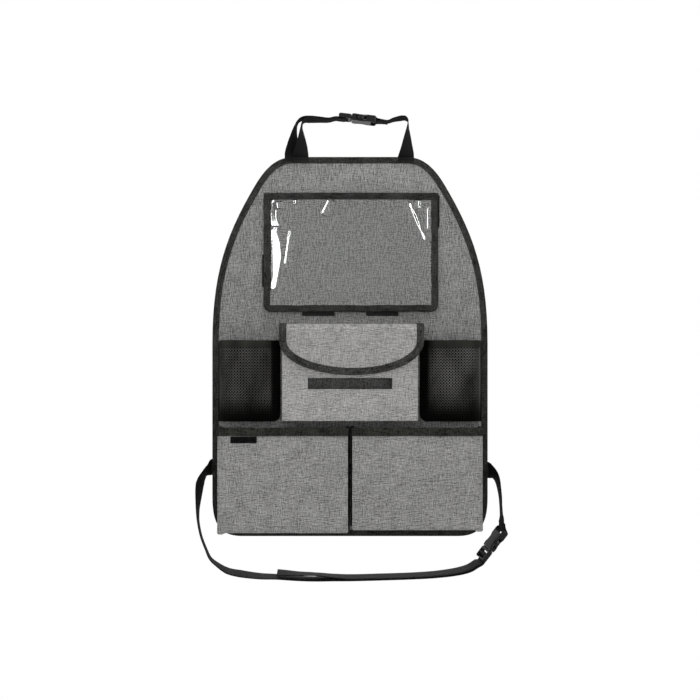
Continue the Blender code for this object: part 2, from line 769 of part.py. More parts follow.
def extruded(outline, thickness, bevel=0.0):
    """A bmesh plate in the buckle's own frame, from (along, across) points."""
    built = bmesh.new()
    verts = [built.verts.new((a, b, -thickness / 2)) for a, b in outline]
    face = built.faces.new(verts)
    moved = bmesh.ops.extrude_face_region(built, geom=[face])
    tops = [item for item in moved["geom"] if isinstance(item, bmesh.types.BMVert)]
    bmesh.ops.translate(built, vec=(0, 0, thickness), verts=tops)
    if bevel:
        rims = [e for e in built.edges if abs(e.verts[0].co.z - e.verts[1].co.z) < 1e-7]
        bmesh.ops.bevel(built, geom=rims, offset=bevel, segments=1, affect="EDGES")
    bmesh.ops.recalc_face_normals(built, faces=built.faces)
    return built


def mesh_from(built, name):
    mesh = bpy.data.meshes.new(name)
    built.to_mesh(mesh)
    built.free()
    return mesh


def box_mesh(low, high, name):
    built = bmesh.new()
    bmesh.ops.create_cube(built, size=1)
    size = Vector(high) - Vector(low)
    centre = (Vector(high) + Vector(low)) / 2
    bmesh.ops.transform(built, matrix=Matrix.Translation(centre) @ Matrix.Diagonal((*size, 1)), verts=built.verts)
    return mesh_from(built, name)


def cylinder_mesh(radius, start, end, sides, name):
    """A round bar between two points."""
    start, end = Vector(start), Vector(end)
    built = bmesh.new()
    turn = (end - start).to_track_quat("Z", "Y").to_matrix().to_4x4()
    matrix = Matrix.Translation((start + end) / 2) @ turn
    bmesh.ops.create_cone(
        built,
        cap_ends=True,
        segments=sides,
        radius1=radius,
        radius2=radius,
        depth=(end - start).length,
        matrix=matrix,
    )
    return mesh_from(built, name)


def combine(name, base, steps):
    """The mesh left after joining and cutting shapes in order: steps are (operation, mesh)."""
    work = bpy.data.objects.new(name, base)
    bpy.context.scene.collection.objects.link(work)
    tools = []
    for operation, mesh in steps:
        tool = bpy.data.objects.new(f"{name}_tool", mesh)
        bpy.context.scene.collection.objects.link(tool)
        modifier = work.modifiers.new(operation, "BOOLEAN")
        modifier.object = tool
        modifier.operation = operation
        modifier.solver = "EXACT"
        tools.append(tool)
    graph = bpy.context.evaluated_depsgraph_get()
    result = bpy.data.meshes.new_from_object(work.evaluated_get(graph))
    for helper in [work, *tools]:
        bpy.data.objects.remove(helper)
    result.name = name
    result.shade_smooth()
    result.set_sharp_from_angle(angle=math.radians(30))
    return result


LOOP_BAR_AT = SOCKET_LENGTH - LOOP_BAR_RADIUS
END_BAR_AT = -PLUG_BASE + BAR_RADIUS
MIDDLE_BAR_AT = END_BAR_AT + 7.2 * MM
WEBBING_ROOM = WEBBING_WIDTH / 2 + 0.5 * MM
CAVITY_HALF = 12.2 * MM
WINDOW = (7 * MM, 23 * MM)


def socket_mesh():
    """The hollow half: mouth and guide ways, side windows for the latches, and a bar for the webbing."""
    half = BUCKLE_WIDTH / 2
    round_end = 4 * MM
    upper = [(0, half - 2 * MM), (5 * MM, half - 1 * MM)]
    upper += [(WINDOW[0], half - 1 * MM), (12 * MM, half - 3 * MM), (18 * MM, half - 3 * MM), (WINDOW[1], half)]
    upper += arc_points((SOCKET_LENGTH - round_end, half - round_end), (round_end, round_end), 90, 0, 4)
    outline = [(a, -b) for a, b in upper] + upper[::-1]
    body = mesh_from(extruded(outline, SOCKET_THICK, 1.6 * MM), "socket")
    cavity_height = PRONG_THICK / 2 + 0.5 * MM
    cavity = box_mesh(
        (-2 * MM, -CAVITY_HALF, -cavity_height), (27 * MM, CAVITY_HALF, cavity_height), "socket_cavity"
    )
    windows = box_mesh(
        (WINDOW[0], -half - 2 * MM, -cavity_height), (WINDOW[1], half + 2 * MM, cavity_height), "windows"
    )
    slot = box_mesh(
        (LOOP_BAR_AT - LOOP_BAR_RADIUS - 4.4 * MM, -WEBBING_ROOM, -SOCKET_THICK),
        (SOCKET_LENGTH + 5 * MM, WEBBING_ROOM, SOCKET_THICK),
        "webbing_slot",
    )
    bar = cylinder_mesh(
        LOOP_BAR_RADIUS,
        (LOOP_BAR_AT, -WEBBING_ROOM - 2 * MM, 0),
        (LOOP_BAR_AT, WEBBING_ROOM + 2 * MM, 0),
        12,
        "loop_bar",
    )
    steps = [("DIFFERENCE", cavity), ("DIFFERENCE", windows), ("DIFFERENCE", slot), ("UNION", bar)]
    return combine("buckle_socket_mesh", body, steps)


def plug_mesh():
    """The latching half: two sprung arms and a guide on a base with the bars that hold the webbing."""
    half = BUCKLE_WIDTH / 2
    round_end = 3 * MM
    collar = -GAP
    right = arc_points((-PLUG_BASE + round_end, half - round_end), (round_end, round_end), 180, 90, 4)
    right += [(-3 * MM, half), (collar, half - 2 * MM)]
    outline = right + [(a, -b) for a, b in right[::-1]]
    base = mesh_from(extruded(outline, PLUG_THICK, 1.2 * MM), "plug_base")
    inner_slot = box_mesh(
        (-PLUG_BASE - 5 * MM, -WEBBING_ROOM, -PLUG_THICK), (-5 * MM, WEBBING_ROOM, PLUG_THICK), "webbing_ways"
    )
    steps = [("DIFFERENCE", inner_slot)]
    for place in (END_BAR_AT, MIDDLE_BAR_AT):
        bar = cylinder_mesh(
            BAR_RADIUS,
            (place, -WEBBING_ROOM - 2 * MM, 0),
            (place, WEBBING_ROOM + 2 * MM, 0),
            12,
            "bar",
        )
        steps.append(("UNION", bar))
    arm = [
        (-2 * MM, 5.6 * MM),
        (14 * MM, 6.6 * MM),
        (24 * MM, 6.2 * MM),
        (25 * MM, 7.6 * MM),
        (21.5 * MM, 12.4 * MM),
        (16 * MM, 15.2 * MM),
        (11 * MM, 15.2 * MM),
        (8.2 * MM, 13.8 * MM),
        (8.2 * MM, 10.4 * MM),
        (-2 * MM, 9.8 * MM),
    ]
    guide = [(-2 * MM, -2.6 * MM), (20 * MM, -2.2 * MM), (22 * MM, 0), (20 * MM, 2.2 * MM), (-2 * MM, 2.6 * MM)]
    mirrored = [(a, -b) for a, b in arm[::-1]]
    for name, shape in (("arm_right", arm), ("arm_left", mirrored), ("guide", guide)):
        steps.append(("UNION", mesh_from(extruded(shape, PRONG_THICK, 0.5 * MM), name)))
    return combine("buckle_plug_mesh", base, steps)


def make_buckle(buckle, socket, plug):
    for label, mesh in (("socket", socket), ("plug", plug)):
        made = add_object(f"{buckle.name}_{label}", mesh, "plastic")
        made.matrix_world = buckle.matrix()


def smooth_route(stations, spacing):
    """Points and across directions on a smooth curve through (point, across) stations."""
    found = []
    last = len(stations) - 1
    for i in range(last):
        p0 = stations[max(i - 1, 0)][0]
        p1, a1 = stations[i]
        p2, a2 = stations[i + 1]
        p3 = stations[min(i + 2, last)][0]
        chord = max((p2 - p1).length, 1e-6)
        m1 = (p2 - p0) * (chord / max((p2 - p1).length + (p1 - p0).length, 1e-6))
        m2 = (p3 - p1) * (chord / max((p2 - p1).length + (p3 - p2).length, 1e-6))
        steps = max(1, round(chord / spacing))
        for k in range(steps):
            t = k / steps
            point = (
                (2 * t**3 - 3 * t**2 + 1) * p1
                + (t**3 - 2 * t**2 + t) * m1
                + (-2 * t**3 + 3 * t**2) * p2
                + (t**3 - t**2) * m2
            )
            found.append((point, a1.lerp(a2, t)))
    found.append(stations[-1])
    return found


def webbing(name, stations, spacing=5 * MM):
    """A flat woven strap along (point, across) stations."""
    route = smooth_route(stations, spacing)
    rings = []
    for i, (point, across) in enumerate(route):
        before, across_before = route[max(i - 1, 0)]
        after, across_after = route[min(i + 1, len(route) - 1)]
        held_before = (across - across_before).length < 1e-6
        held_after = (across - across_after).length < 1e-6
        if held_before and not held_after and i > 0:
            after = point
        if held_after and not held_before and i < len(route) - 1:
            before = point
        along = (after - before).normalized()
        wide = (across - along * across.dot(along)).normalized() * WEBBING_WIDTH / 2
        thick = along.cross(wide).normalized() * WEBBING / 2
        rings.append([point + wide + thick, point - wide + thick, point - wide - thick, point + wide - thick])
    return loft(name, rings, "webbing", split=True)


def faced(points, base):
    """Stations from (x, z, face) in mm and degrees: face is 0 or 180 with the webbing flat to the front
    and 90 with its edge to the front. base is its depth where it is flat. A fourth value is how far
    forward it comes on edge, a fifth turns its width away from square to its route."""
    found = []
    last = len(points) - 1
    for i, (x, z, face, *more) in enumerate(points):
        before, after = points[max(i - 1, 0)], points[min(i + 1, last)]
        if face % 180 == 0 and 0 < i < last:
            if after[2] != face:
                after = points[i]
            elif before[2] != face:
                before = points[i]
        room = more[0] * ROUTE_UNIT if more else TWIST_ROOM
        lean = math.radians(more[1]) if more[1:] else 0
        way = math.atan2(after[0] - before[0], before[1] - after[1]) + lean
        angle = math.radians(face)
        point = Vector((x * ROUTE_UNIT, base - room * math.sin(angle), z * ROUTE_UNIT))
        left = Vector((math.cos(way), 0, math.sin(way)))
        found.append((point, left * math.cos(angle) + Vector((0, 1, 0)) * math.sin(angle)))
    return found


def ladder_thread(buckle):
    """Webbing under both bars of the plug, back over the middle bar and out under the end bar."""
    turn = BAR_RADIUS + 0.4 * MM + WEBBING / 2
    lower = turn + WEBBING + 0.4 * MM
    path = [(END_BAR_AT - 6 * MM, -lower), (END_BAR_AT, -lower), (MIDDLE_BAR_AT - 1 * MM, -lower)]
    path += [(MIDDLE_BAR_AT + 1.9 * MM, -3.9 * MM), (MIDDLE_BAR_AT + 3.2 * MM, -2.3 * MM)]
    for degrees in range(-10, 171, 20):
        angle = math.radians(degrees)
        path.append((MIDDLE_BAR_AT + turn * math.cos(angle) * 1.04, turn * math.sin(angle)))
    path += [(MIDDLE_BAR_AT - 3.2 * MM, -1.5 * MM), (END_BAR_AT + 2.2 * MM, -turn + 0.15 * MM)]
    path += [(END_BAR_AT, -turn), (END_BAR_AT - 6 * MM, -turn)]
    return [(buckle.place(a, b), buckle.across) for a, b in path]


def loop_thread(buckle, sewn, side, lean):
    """Webbing looped round the socket's bar, from its sewn end to the start of its route. The two
    plies leave the bar turned by the lean from the buckle's own line."""
    turn = LOOP_BAR_RADIUS + 0.35 * MM + WEBBING / 2
    apart = WEBBING / 2 + GAP / 2
    near = (turn * math.cos(math.radians(70)) + 1.5 * MM, turn - 0.9 * MM)
    path = [(sewn, apart), (0.6 * sewn, apart + 0.05 * MM), near]
    for degrees in range(80, 281, 20):
        angle = math.radians(degrees)
        path.append((turn * math.cos(angle), turn * math.sin(angle)))
    path += [(near[0], -near[1]), (0.6 * sewn, -apart - 0.05 * MM), (sewn, -apart)]
    cosine, sine = math.cos(lean), math.sin(lean)
    found = []
    for a, b in path:
        b *= side
        along, thick = LOOP_BAR_AT + a * cosine - b * sine, a * sine + b * cosine
        found.append((buckle.place(along, thick), buckle.across))
    return found


def make_headrest_straps(buckle):
    """The headrest strap: a long adjustable side with its tail, and a short side sewn to the socket."""
    left = UPPER_LEFT_BASE / ROUTE_UNIT
    right = UPPER_RIGHT_BASE / ROUTE_UNIT
    top = PANEL_TOP / ROUTE_UNIT
    lap = LAP / ROUTE_UNIT
    rise = [
        (left, top - lap, 180),
        (left, top - 1.6, 180),
        (left, top - 1, 180),
        (left + 0.2, top + 3, 158),
        (left + 0.9, top + 10, 142),
        (left + 1.5, top + 17, 129),
        (left + 2.0, top + 31, 108),
        (left + 2.2, top + 43, 93),
        (left + 3.4, top + 50, 90),
        (left + 7.0, top + 53.6, 97),
        (left + 13, top + 54.7, 103),
        (left + 19, top + 54.6, 102),
        (left + 31, top + 54.0, 98),
        (left + 44, top + 53.4, 94),
    ]
    tail = [
        (left + 44, top + 55.6, 86),
        (left + 31, top + 56.3, 82),
        (left + 19, top + 56.9, 78),
        (left + 9, top + 57.0, 78),
        (left + 2.0, top + 56.2, 84),
        (left - 3.1, top + 52.4, 88),
        (left - 6.3, top + 46.4, 86),
        (left - 8.2, top + 39.6, 79),
        (left - 10.0, top + 30, 68),
        (left - 11.4, top + 19.4, 51),
        (left - 11.8, top + 10, 28),
        (left - 12, top + 4, 10),
        (left - 12, top, 0),
        (left - 12, top - 0.6, 0),
        (left - 12, top - 7, 0),
    ]
    over = LAP_Y - WEBBING - 2 * GAP
    thread = ladder_thread(buckle)
    webbing("headrest_strap_long", faced(rise, over) + thread + faced(tail, LAP_Y))

    fall = [
        (right - 20, top + 55.0, 97),
        (right - 8, top + 57.5, 101),
        (right - 1.2, top + 57.6, 98),
        (right + 2.2, top + 54.8, 91),
        (right + 3.1, top + 50, 87),
        (right + 2.6, top + 43, 82),
        (right + 1.9, top + 30, 66),
        (right + 1.0, top + 15, 47),
        (right + 0.4, top + 6, 31),
        (right + 0.1, top + 2.5, 20),
        (right, top - 1, 0),
        (right, top - 1.6, 0),
        (right, top - lap, 0),
    ]
    webbing("headrest_strap_short", loop_thread(buckle, LOOP_SEWN[0], -1, 0) + faced(fall, LAP_Y))


def make_seat_straps(buckle):
    """The seat strap: long side from the left seam with its folded-back tail, short side on the right."""
    edge = PANEL_WIDTH / 2 / ROUTE_UNIT
    sewn = SEWN_IN / ROUTE_UNIT
    left_base = LOWER_LEFT_BASE / ROUTE_UNIT
    right_base = LOWER_RIGHT_BASE / ROUTE_UNIT
    sweep = [
        (sewn, 0, 0),
        (1.0, 0, 0),
        (-0.4, 0, 0),
        (-1.4, 0, 0),
        (-5.7, -4.0, 46, 10, -42),
        (-11.6, -9.9, 69, 10.5, -20),
        (-15.7, -17, 67, 11),
        (-18.2, -25, 64, 11.5),
        (-19.7, -36, 68, 12),
        (-20.9, -52, 77, 13),
        (-21.5, -65, 84, 14),
        (-20.6, -83, 89),
        (-16, -106, 90),
        (-8.5, -126, 90),
        (-2, -140, 88),
        (8, -149, 84),
        (24, -159, 76),
        (43, -163.5, 72),
        (74, -167.5, 76),
        (100, -168.5, 79),
        (133, -171, 81),
        (160, -171.8, 81),
        (188, -171.3, 80),
        (214, -171, 79),
        (261, -169.8, 79),
        (309, -168.2, 79),
        (345, -166.0, 78),
        (377, -162.0, 76),
        (398, -156.5, 74),
        (411, -148.5, 73),
    ]
    tail = [
        (409.5, -146.2, 107),
        (396.5, -154.0, 106),
        (376, -159.6, 104),
        (344.5, -163.8, 102),
        (309, -166.1, 101),
        (261, -167.7, 101),
        (214, -168.6, 100),
        (188, -167.0, 96),
        (160, -164.4, 93),
        (133, -163.6, 97),
        (114, -162.6, 103),
        (101, -162.2, 107),
    ]
    sweep, tail = [[(x - edge, z + left_base, *more) for x, z, *more in path] for path in (sweep, tail)]
    thread = ladder_thread(buckle)
    webbing("seat_strap_long", faced(sweep, STRAP_Y) + thread + faced(tail, STRAP_Y))

    rise = [
        (20.0, -68, 86),
        (19.2, -53, 87, 14),
        (18.6, -41, 85, 13),
        (17.0, -28.7, 82, 12),
        (14.5, -15.8, 71, 11, 40),
        (10.7, -7.4, 59, 10.5, 34),
        (5.3, -2.4, 36, 10, 29),
        (1.4, 0, 0),
        (0.4, 0, 0),
        (-1.0, 0, 0),
        (-sewn, 0, 0),
    ]
    rise = [(x + edge, z + right_base, *more) for x, z, *more in rise]
    loop = loop_thread(buckle, LOOP_SEWN[1], -1, math.radians(45))
    webbing("seat_strap_short", loop + faced(rise, STRAP_Y))


def main():
    clear_scene()
    make_panel()
    make_tablet_pouch()
    make_tissue_pocket()
    for label, side in (("left", -1), ("right", 1)):
        make_mesh_pocket(label, side)
        front = make_box_pocket(label, side)
    make_label(front)

    socket, plug = socket_mesh(), plug_mesh()
    upper = Buckle(
        "headrest_buckle",
        (HEADREST_BUCKLE[0], LAP_Y - TWIST_ROOM, HEADREST_BUCKLE[1]),
        math.radians(-6.5),
        math.radians(94),
    )
    turned = math.radians(73)
    seat_y = STRAP_Y - TWIST_ROOM * math.sin(turned)
    lower = Buckle("seat_buckle", (SEAT_BUCKLE[0], seat_y, SEAT_BUCKLE[1]), math.radians(52.3), turned)
    for buckle in (upper, lower):
        make_buckle(buckle, socket, plug)
    make_headrest_straps(upper)
    make_seat_straps(lower)


main()
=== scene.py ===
import math

import bpy
import numpy as np
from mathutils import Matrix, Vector, noise


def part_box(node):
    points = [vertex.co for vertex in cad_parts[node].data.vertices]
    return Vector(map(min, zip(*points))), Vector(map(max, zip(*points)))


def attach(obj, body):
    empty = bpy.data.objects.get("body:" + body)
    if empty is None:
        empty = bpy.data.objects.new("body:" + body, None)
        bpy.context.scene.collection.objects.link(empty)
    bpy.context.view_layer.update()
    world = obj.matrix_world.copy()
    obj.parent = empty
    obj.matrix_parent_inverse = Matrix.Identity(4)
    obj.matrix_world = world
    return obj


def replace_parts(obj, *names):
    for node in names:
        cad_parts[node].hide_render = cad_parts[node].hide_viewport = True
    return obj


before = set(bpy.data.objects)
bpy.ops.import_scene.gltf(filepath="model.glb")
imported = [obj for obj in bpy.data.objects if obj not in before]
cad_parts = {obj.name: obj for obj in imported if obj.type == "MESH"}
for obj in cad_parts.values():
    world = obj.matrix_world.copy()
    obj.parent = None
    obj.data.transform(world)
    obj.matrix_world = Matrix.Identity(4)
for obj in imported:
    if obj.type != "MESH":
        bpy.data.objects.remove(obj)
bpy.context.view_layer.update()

mm = 0.001


def unit(value):
    return min(1, max(0, value))


def smooth(t):
    return t * t * (3 - 2 * t)


class Wire:
    # A shader socket that adds, scales and mixes like a number
    def __init__(self, graph, socket):
        self.graph = graph
        self.socket = socket

    def __add__(self, other):
        return self.graph.maths("ADD", self, other)

    def __sub__(self, other):
        return self.graph.maths("SUBTRACT", self, other)

    def __rsub__(self, other):
        return self.graph.maths("SUBTRACT", other, self)

    def __mul__(self, other):
        return self.graph.maths("MULTIPLY", self, other)

    def sine(self):
        return self.graph.maths("SINE", self)

    def size(self):
        return self.graph.maths("ABSOLUTE", self)

    def spread(self, low, high):
        # 0 below low, 1 above high, smooth between
        inputs = {"Value": self, "From Min": low, "From Max": high}
        return self.graph.add("ShaderNodeMapRange", inputs, interpolation_type="SMOOTHSTEP")


socketNames = {"colour": "Base Color", "rough": "Roughness", "normal": "Normal", "shine": "Specular IOR Level"}


class Graph:
    # One material's nodes
    def __init__(self, name):
        self.material = bpy.data.materials.new(name)
        self.material.use_nodes = True
        self.tree = self.material.node_tree
        self.shader = self.tree.nodes["Principled BSDF"]
        self.output = self.tree.nodes["Material Output"]

    def put(self, socket, value):
        if isinstance(value, Wire):
            self.tree.links.new(value.socket, socket)
        elif hasattr(socket.default_value, "__len__"):
            whole = list(value) if hasattr(value, "__len__") else [value] * 3
            missing = len(socket.default_value) - len(whole)
            socket.default_value = whole + [1.0] * missing
        else:
            socket.default_value = value

    def add(self, kind, inputs=None, output=0, **settings):
        node = self.tree.nodes.new(kind)
        for key, value in settings.items():
            setattr(node, key, value)
        for key, value in (inputs or {}).items():
            self.put(node.inputs[key], value)
        return Wire(self, node.outputs[output])

    def maths(self, operation, first, second=None):
        inputs = {0: first} if second is None else {0: first, 1: second}
        return self.add("ShaderNodeMath", inputs, operation=operation)

    def blend(self, factor, first, second):
        return self.add("ShaderNodeMix", {0: factor, 6: first, 7: second}, 2, data_type="RGBA")

    def toned(self, shade, tone, dark, pale):
        # The tone times dark where the shade is 0, times pale where it is 1
        factor = self.add("ShaderNodeClamp", {0: shade})
        return self.blend(factor, [c * dark for c in tone], [c * pale for c in tone])

    def place(self, kind="Object"):
        return self.add("ShaderNodeTexCoord", output=kind)

    def parts(self, vector):
        node = self.tree.nodes.new("ShaderNodeSeparateXYZ")
        self.put(node.inputs[0], vector)
        return [Wire(self, output) for output in node.outputs]

    def stretched(self, vector, scale):
        return self.add("ShaderNodeVectorMath", {0: vector, 1: scale}, operation="MULTIPLY")

    def cloud(self, vector, scale, detail=2.0, roughness=0.5):
        inputs = {"Vector": vector, "Scale": scale, "Detail": detail, "Roughness": roughness}
        return self.add("ShaderNodeTexNoise", inputs)

    def bump(self, height, distance, strength=1.0):
        return self.add("ShaderNodeBump", {"Height": height, "Distance": distance, "Strength": strength})

    def surface(self, **values):
        for key, value in values.items():
            self.put(self.shader.inputs[socketNames[key]], value)
        return self.material


def greyCloth(name, tone, upright, level, contrast):
    # Melange canvas: pale and dark slubs along both yarns; upright and level say how strongly each shows
    laneWide, yarnPitch = 1.45 * mm, 0.85 * mm
    g = Graph(name)
    x, y, z = g.parts(g.place())
    across, up = x + y, z - y

    def slubs(which, distance, shift):
        lane = g.maths("FLOOR", which * (1 / laneWide))
        spots = [
            g.add("ShaderNodeCombineXYZ", {0: (lane + n) * 17.37 + shift, 1: distance * 85}) for n in (0, 1)
        ]
        here, beside = [g.cloud(spot, 1.0, 2.0, 0.7) for spot in spots]
        return here - beside * 0.6 - 0.2

    warp, weft = slubs(across, up, 0.0) * upright, slubs(up, across, 91.3) * level
    cross = (across * (math.pi / yarnPitch)).sine() * (up * (math.pi / yarnPitch)).sine()
    over = cross.spread(-0.25, 0.25)
    blotch = g.cloud(g.place(), 60, 3.0, 0.6)
    shade = (warp * (over + 0.5) + weft * (1.5 - over)) * contrast + 0.44
    shade = shade + cross.size() * 0.16 + (blotch - 0.5) * 0.55
    normal = g.bump(cross.size() + (warp + weft) * 0.3, 0.00022, 0.7)
    return g.surface(colour=g.toned(shade, tone, 0.3, 1.8), rough=0.95, normal=normal, shine=0.2)


def darkTape(name, tone, ribs=2400, depth=0.00018, shine=0.12):
    # Ribbed tape: fine cross ribs, long soft creases along it that are also painted into the colour as lighter
    # and darker streaks of painted light and shade, a little dust and wear
    g = Graph(name)
    u, v = g.parts(g.place("UV"))[:2]
    place = g.place()
    fleck = g.cloud(place, 430, 2.0, 0.8)
    creaseAndPaintedLight = g.cloud(g.add("ShaderNodeCombineXYZ", {0: u * 620, 1: v * 55}), 1.0, 2.0, 0.7)
    rib = (v * ribs).sine() * 0.5 + 0.5
    soft = g.cloud(place, 45)
    # the creases' lighter and darker streaks in the colour are painted light and shade
    shade = rib * 0.16 + (fleck - 0.5) * 2.6 + (creaseAndPaintedLight - 0.5) * 1.8 + 0.4 + (soft - 0.5) * 0.9
    normal = g.bump(rib * 0.8 + fleck * 0.8 + creaseAndPaintedLight * 1.6, depth, 0.8)
    return g.surface(colour=g.toned(shade, tone, 0.18, 2.3), rough=0.85, normal=normal, shine=shine)


def liningLook(name, tone):
    # Pressed lining felt with rows of small sunk dots
    g = Graph(name)
    x, y, z = g.parts(g.place())
    turns = math.pi / (3.2 * mm)
    dots = (((x + z) * turns).sine() * ((x - z) * turns).sine()).size().spread(0.55, 0.9)
    fibre = g.cloud(g.stretched(g.place(), (1.0, 1.0, 0.35)), 700, 3.0, 0.8)
    worn = g.cloud(g.place(), 9, 3.0, 0.6)
    shade = (fibre - 0.5) * 2.4 + (worn - 0.5) * 0.8 + 0.55 - dots * 0.35
    normal = g.bump(fibre * 0.5 - dots, 0.0003, 0.8)
    return g.surface(colour=g.toned(shade, tone, 0.45, 1.6), rough=0.85, normal=normal, shine=0.25)


def webbingLook(name, tone):
    # Woven webbing: narrow lengthwise bands of slanting yarn
    g = Graph(name)
    u, v = g.parts(g.place("UV"))[:2]
    band = (u * 1900).sine()
    slant = (v * 2600 + band.size() * 3.0).sine() * 0.5 + 0.5
    height = slant * 0.6 + band.size() * 0.6
    shade = height * 0.5 + g.cloud(g.place(), 800) * 0.5
    normal = g.bump(height, 0.0002, 0.8)
    return g.surface(colour=g.toned(shade, tone, 0.4, 1.6), rough=0.72, normal=normal, shine=0.12)


def threadLook(name, tone):
    g = Graph(name)
    u, v = g.parts(g.place("UV"))[:2]
    twist = (v * 9000 + u * 3000).sine() * 0.5 + 0.5
    colour = g.blend(twist, [c * 0.8 for c in tone], [c * 1.2 for c in tone])
    return g.surface(colour=colour, rough=0.55, normal=g.bump(twist, 0.00008))


def plasticLook(name, tone):
    g = Graph(name)
    normal = g.bump(g.cloud(g.place(), 1500), 0.00003)
    return g.surface(colour=tone, rough=g.cloud(g.place(), 40) * 0.16 + 0.17, normal=normal, shine=0.3)


def boardLook(name, dark, pale):
    g = Graph(name)
    return g.surface(colour=g.blend(g.cloud(g.place(), 300, 3.0), dark, pale), rough=0.7)


def filmLook(name, tint, gloss):
    # Clear soft film: see-through, with a polished skin that shows lamps
    g = Graph(name)
    place = g.place()
    normal = g.bump(g.cloud(place, 28), 0.00015, 0.3)
    clear = g.add("ShaderNodeBsdfTransparent", {"Color": tint})
    skin = g.add("ShaderNodeBsdfGlossy", {"Color": (1, 1, 1), "Roughness": gloss, "Normal": normal})
    facing = g.add("ShaderNodeFresnel", {"IOR": 2.1, "Normal": normal})
    amount = facing * 0.95 + g.cloud(place, 35, 3.0) * 0.012
    mixed = g.add("ShaderNodeMixShader", {0: amount, 1: clear, 2: skin})
    g.tree.links.new(mixed.socket, g.output.inputs["Surface"])
    g.tree.nodes.remove(g.shader)
    return g.material


def netLook(name, tone, shine=0.1):
    # Knitted net with painted shade, darker where it turns in beside the tissue pocket and towards its lower
    # edge, and soft lighter patches of painted highlight
    g = Graph(name)
    x, y, z = g.parts(g.place())
    fleck = g.cloud(g.place(), 1200)
    # painted shade: the colour fades to near black at the inner side and towards the lower edge
    light = x.size().spread(0.1185, 0.1235) * z.spread(-0.109, -0.07) * 0.94 + 0.06
    # spark: soft lighter patches of painted highlight
    spark = g.cloud(g.stretched(g.place(), (1.0, 1.0, 0.5)), 30)
    lit = g.toned(fleck * 0.4 + spark * 2.2 - 0.8, tone, 0.35, 1.5)
    colour = g.blend(light, [c * 0.04 for c in tone], lit)
    return g.surface(colour=colour, rough=0.75, normal=g.bump(fleck, 0.00012), shine=shine)


looks = {
    # One grey melange cloth in copies of different tone, for painted light and shade: the panel is darkest, the
    # box fronts, tissue front, flap and the cloth behind the window are lighter copies
    "cloth": greyCloth("greyMelange", (0.153, 0.153, 0.15), 1.0, 0.75, 1.85),
    "clothBox": greyCloth("greyMelangeBoxPaintedLight", (0.184, 0.184, 0.178), 0.8, 1.0, 1.6),
    "clothTissuePaintedLight": greyCloth("greyMelangeTissuePaintedLight", (0.232, 0.23, 0.224), 0.8, 1.0, 1.35),
    "clothFlapPaintedLight": greyCloth("greyMelangeFlapPaintedLight", (0.223, 0.221, 0.215), 0.8, 1.0, 1.3),
    "clothPouchPaintedLight": greyCloth("greyMelangePouchPaintedLight", (0.31, 0.31, 0.3), 1.0, 0.7, 6.2),
    "clothBlack": darkTape("blackGusset", (0.0035, 0.0035, 0.0034), 3600, 0.00018, 0.05),
    "lining": liningLook("blackLining", (0.017, 0.017, 0.0168)),
    "tape": darkTape("blackTape", (0.017, 0.017, 0.0162)),
    "paleTape": darkTape("flapTape", (0.024, 0.024, 0.0226)),
    "windowTape": darkTape("windowTape", (0.014, 0.014, 0.0136)),
    "band": darkTape("elasticBand", (0.0145, 0.0145, 0.0125), 1500, 0.0003, 0.14),
    "hook": darkTape("fastenerTape", (0.011, 0.011, 0.0115), 5200, 0.0004, 0.14),
    "webbing": webbingLook("blackWebbing", (0.0072, 0.0072, 0.0071)),
    "thread": threadLook("darkThread", (0.03, 0.03, 0.03)),
    "greyThread": threadLook("greyThread", (0.17, 0.17, 0.165)),
    "net": netLook("netThread", (0.074, 0.074, 0.07)),
    "netBack": netLook("netBacking", (0.002, 0.002, 0.0019), 0.0),
    "netBand": netLook("netBand", (0.0145, 0.0145, 0.0125)),
    "plastic": plasticLook("satinPlastic", (0.006, 0.006, 0.0065)),
    "board": boardLook("paleBoard", (0.5, 0.48, 0.45), (0.62, 0.6, 0.56)),
    "film": filmLook("clearFilm", (0.955, 0.96, 0.957), 0.04),
}
print("looks ready")


def addMesh(name, points, faces, look, uv=None, slot=None):
    # A smooth-shaded mesh that rides on the part
    mesh = bpy.data.meshes.new(name)
    mesh.from_pydata(np.asarray(points, float).reshape(-1, 3).tolist(), [], faces)
    if uv is not None:
        layer = mesh.uv_layers.new(name="UVMap")
        index = np.zeros(len(mesh.loops), int)
        mesh.loops.foreach_get("vertex_index", index)
        layer.data.foreach_set("uv", np.asarray(uv, np.float32).reshape(-1, 2)[index].ravel())
    mesh.shade_smooth()
    mesh.set_sharp_from_angle(angle=math.radians(50))
    mesh.materials.append(looks[look])
    made = bpy.data.objects.new(name, mesh)
    bpy.context.scene.collection.objects.link(made)
    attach(made, "root")
    return made


def lengths(points):
    # Distance along a row of points, from 0
    steps = np.linalg.norm(np.diff(points, axis=0), axis=1)
    return np.concatenate([[0], np.cumsum(steps)])


def ringFaces(rows, columns, closed=False, start=0):
    faces = []
    for i in range(rows if closed else rows - 1):
        a, b = start + i * columns, start + (i + 1) % rows * columns
        for k in range(columns):
            n = (k + 1) % columns
            faces.append((a + k, a + n, b + n, b + k))
    if not closed:
        last = start + (rows - 1) * columns
        faces.append(tuple(range(start, start + columns))[::-1])
        faces.append(tuple(range(last, last + columns)))
    return faces


def fixSides(points, faces):
    # Turns every face outwards when the closed mesh is inside out
    points = np.asarray(points, float).reshape(-1, 3)
    volume = 0.0
    for face in faces:
        first = points[face[0]]
        for k in range(1, len(face) - 1):
            volume += float(np.dot(first, np.cross(points[face[k]], points[face[k + 1]])))
    return [face[::-1] for face in faces] if volume < 0 else faces


def ringMesh(name, rings, look, closed=False, slot=None):
    # A closed solid through rings of points; closed joins the last ring to the first
    rings = np.asarray(rings, float)
    rows, columns = rings.shape[:2]
    faces = fixSides(rings, ringFaces(rows, columns, closed))
    uv = np.stack(np.meshgrid(lengths(rings[rows // 2]), lengths(rings.mean(axis=1))), axis=-1)
    return addMesh(name, rings, faces, look, uv, slot)


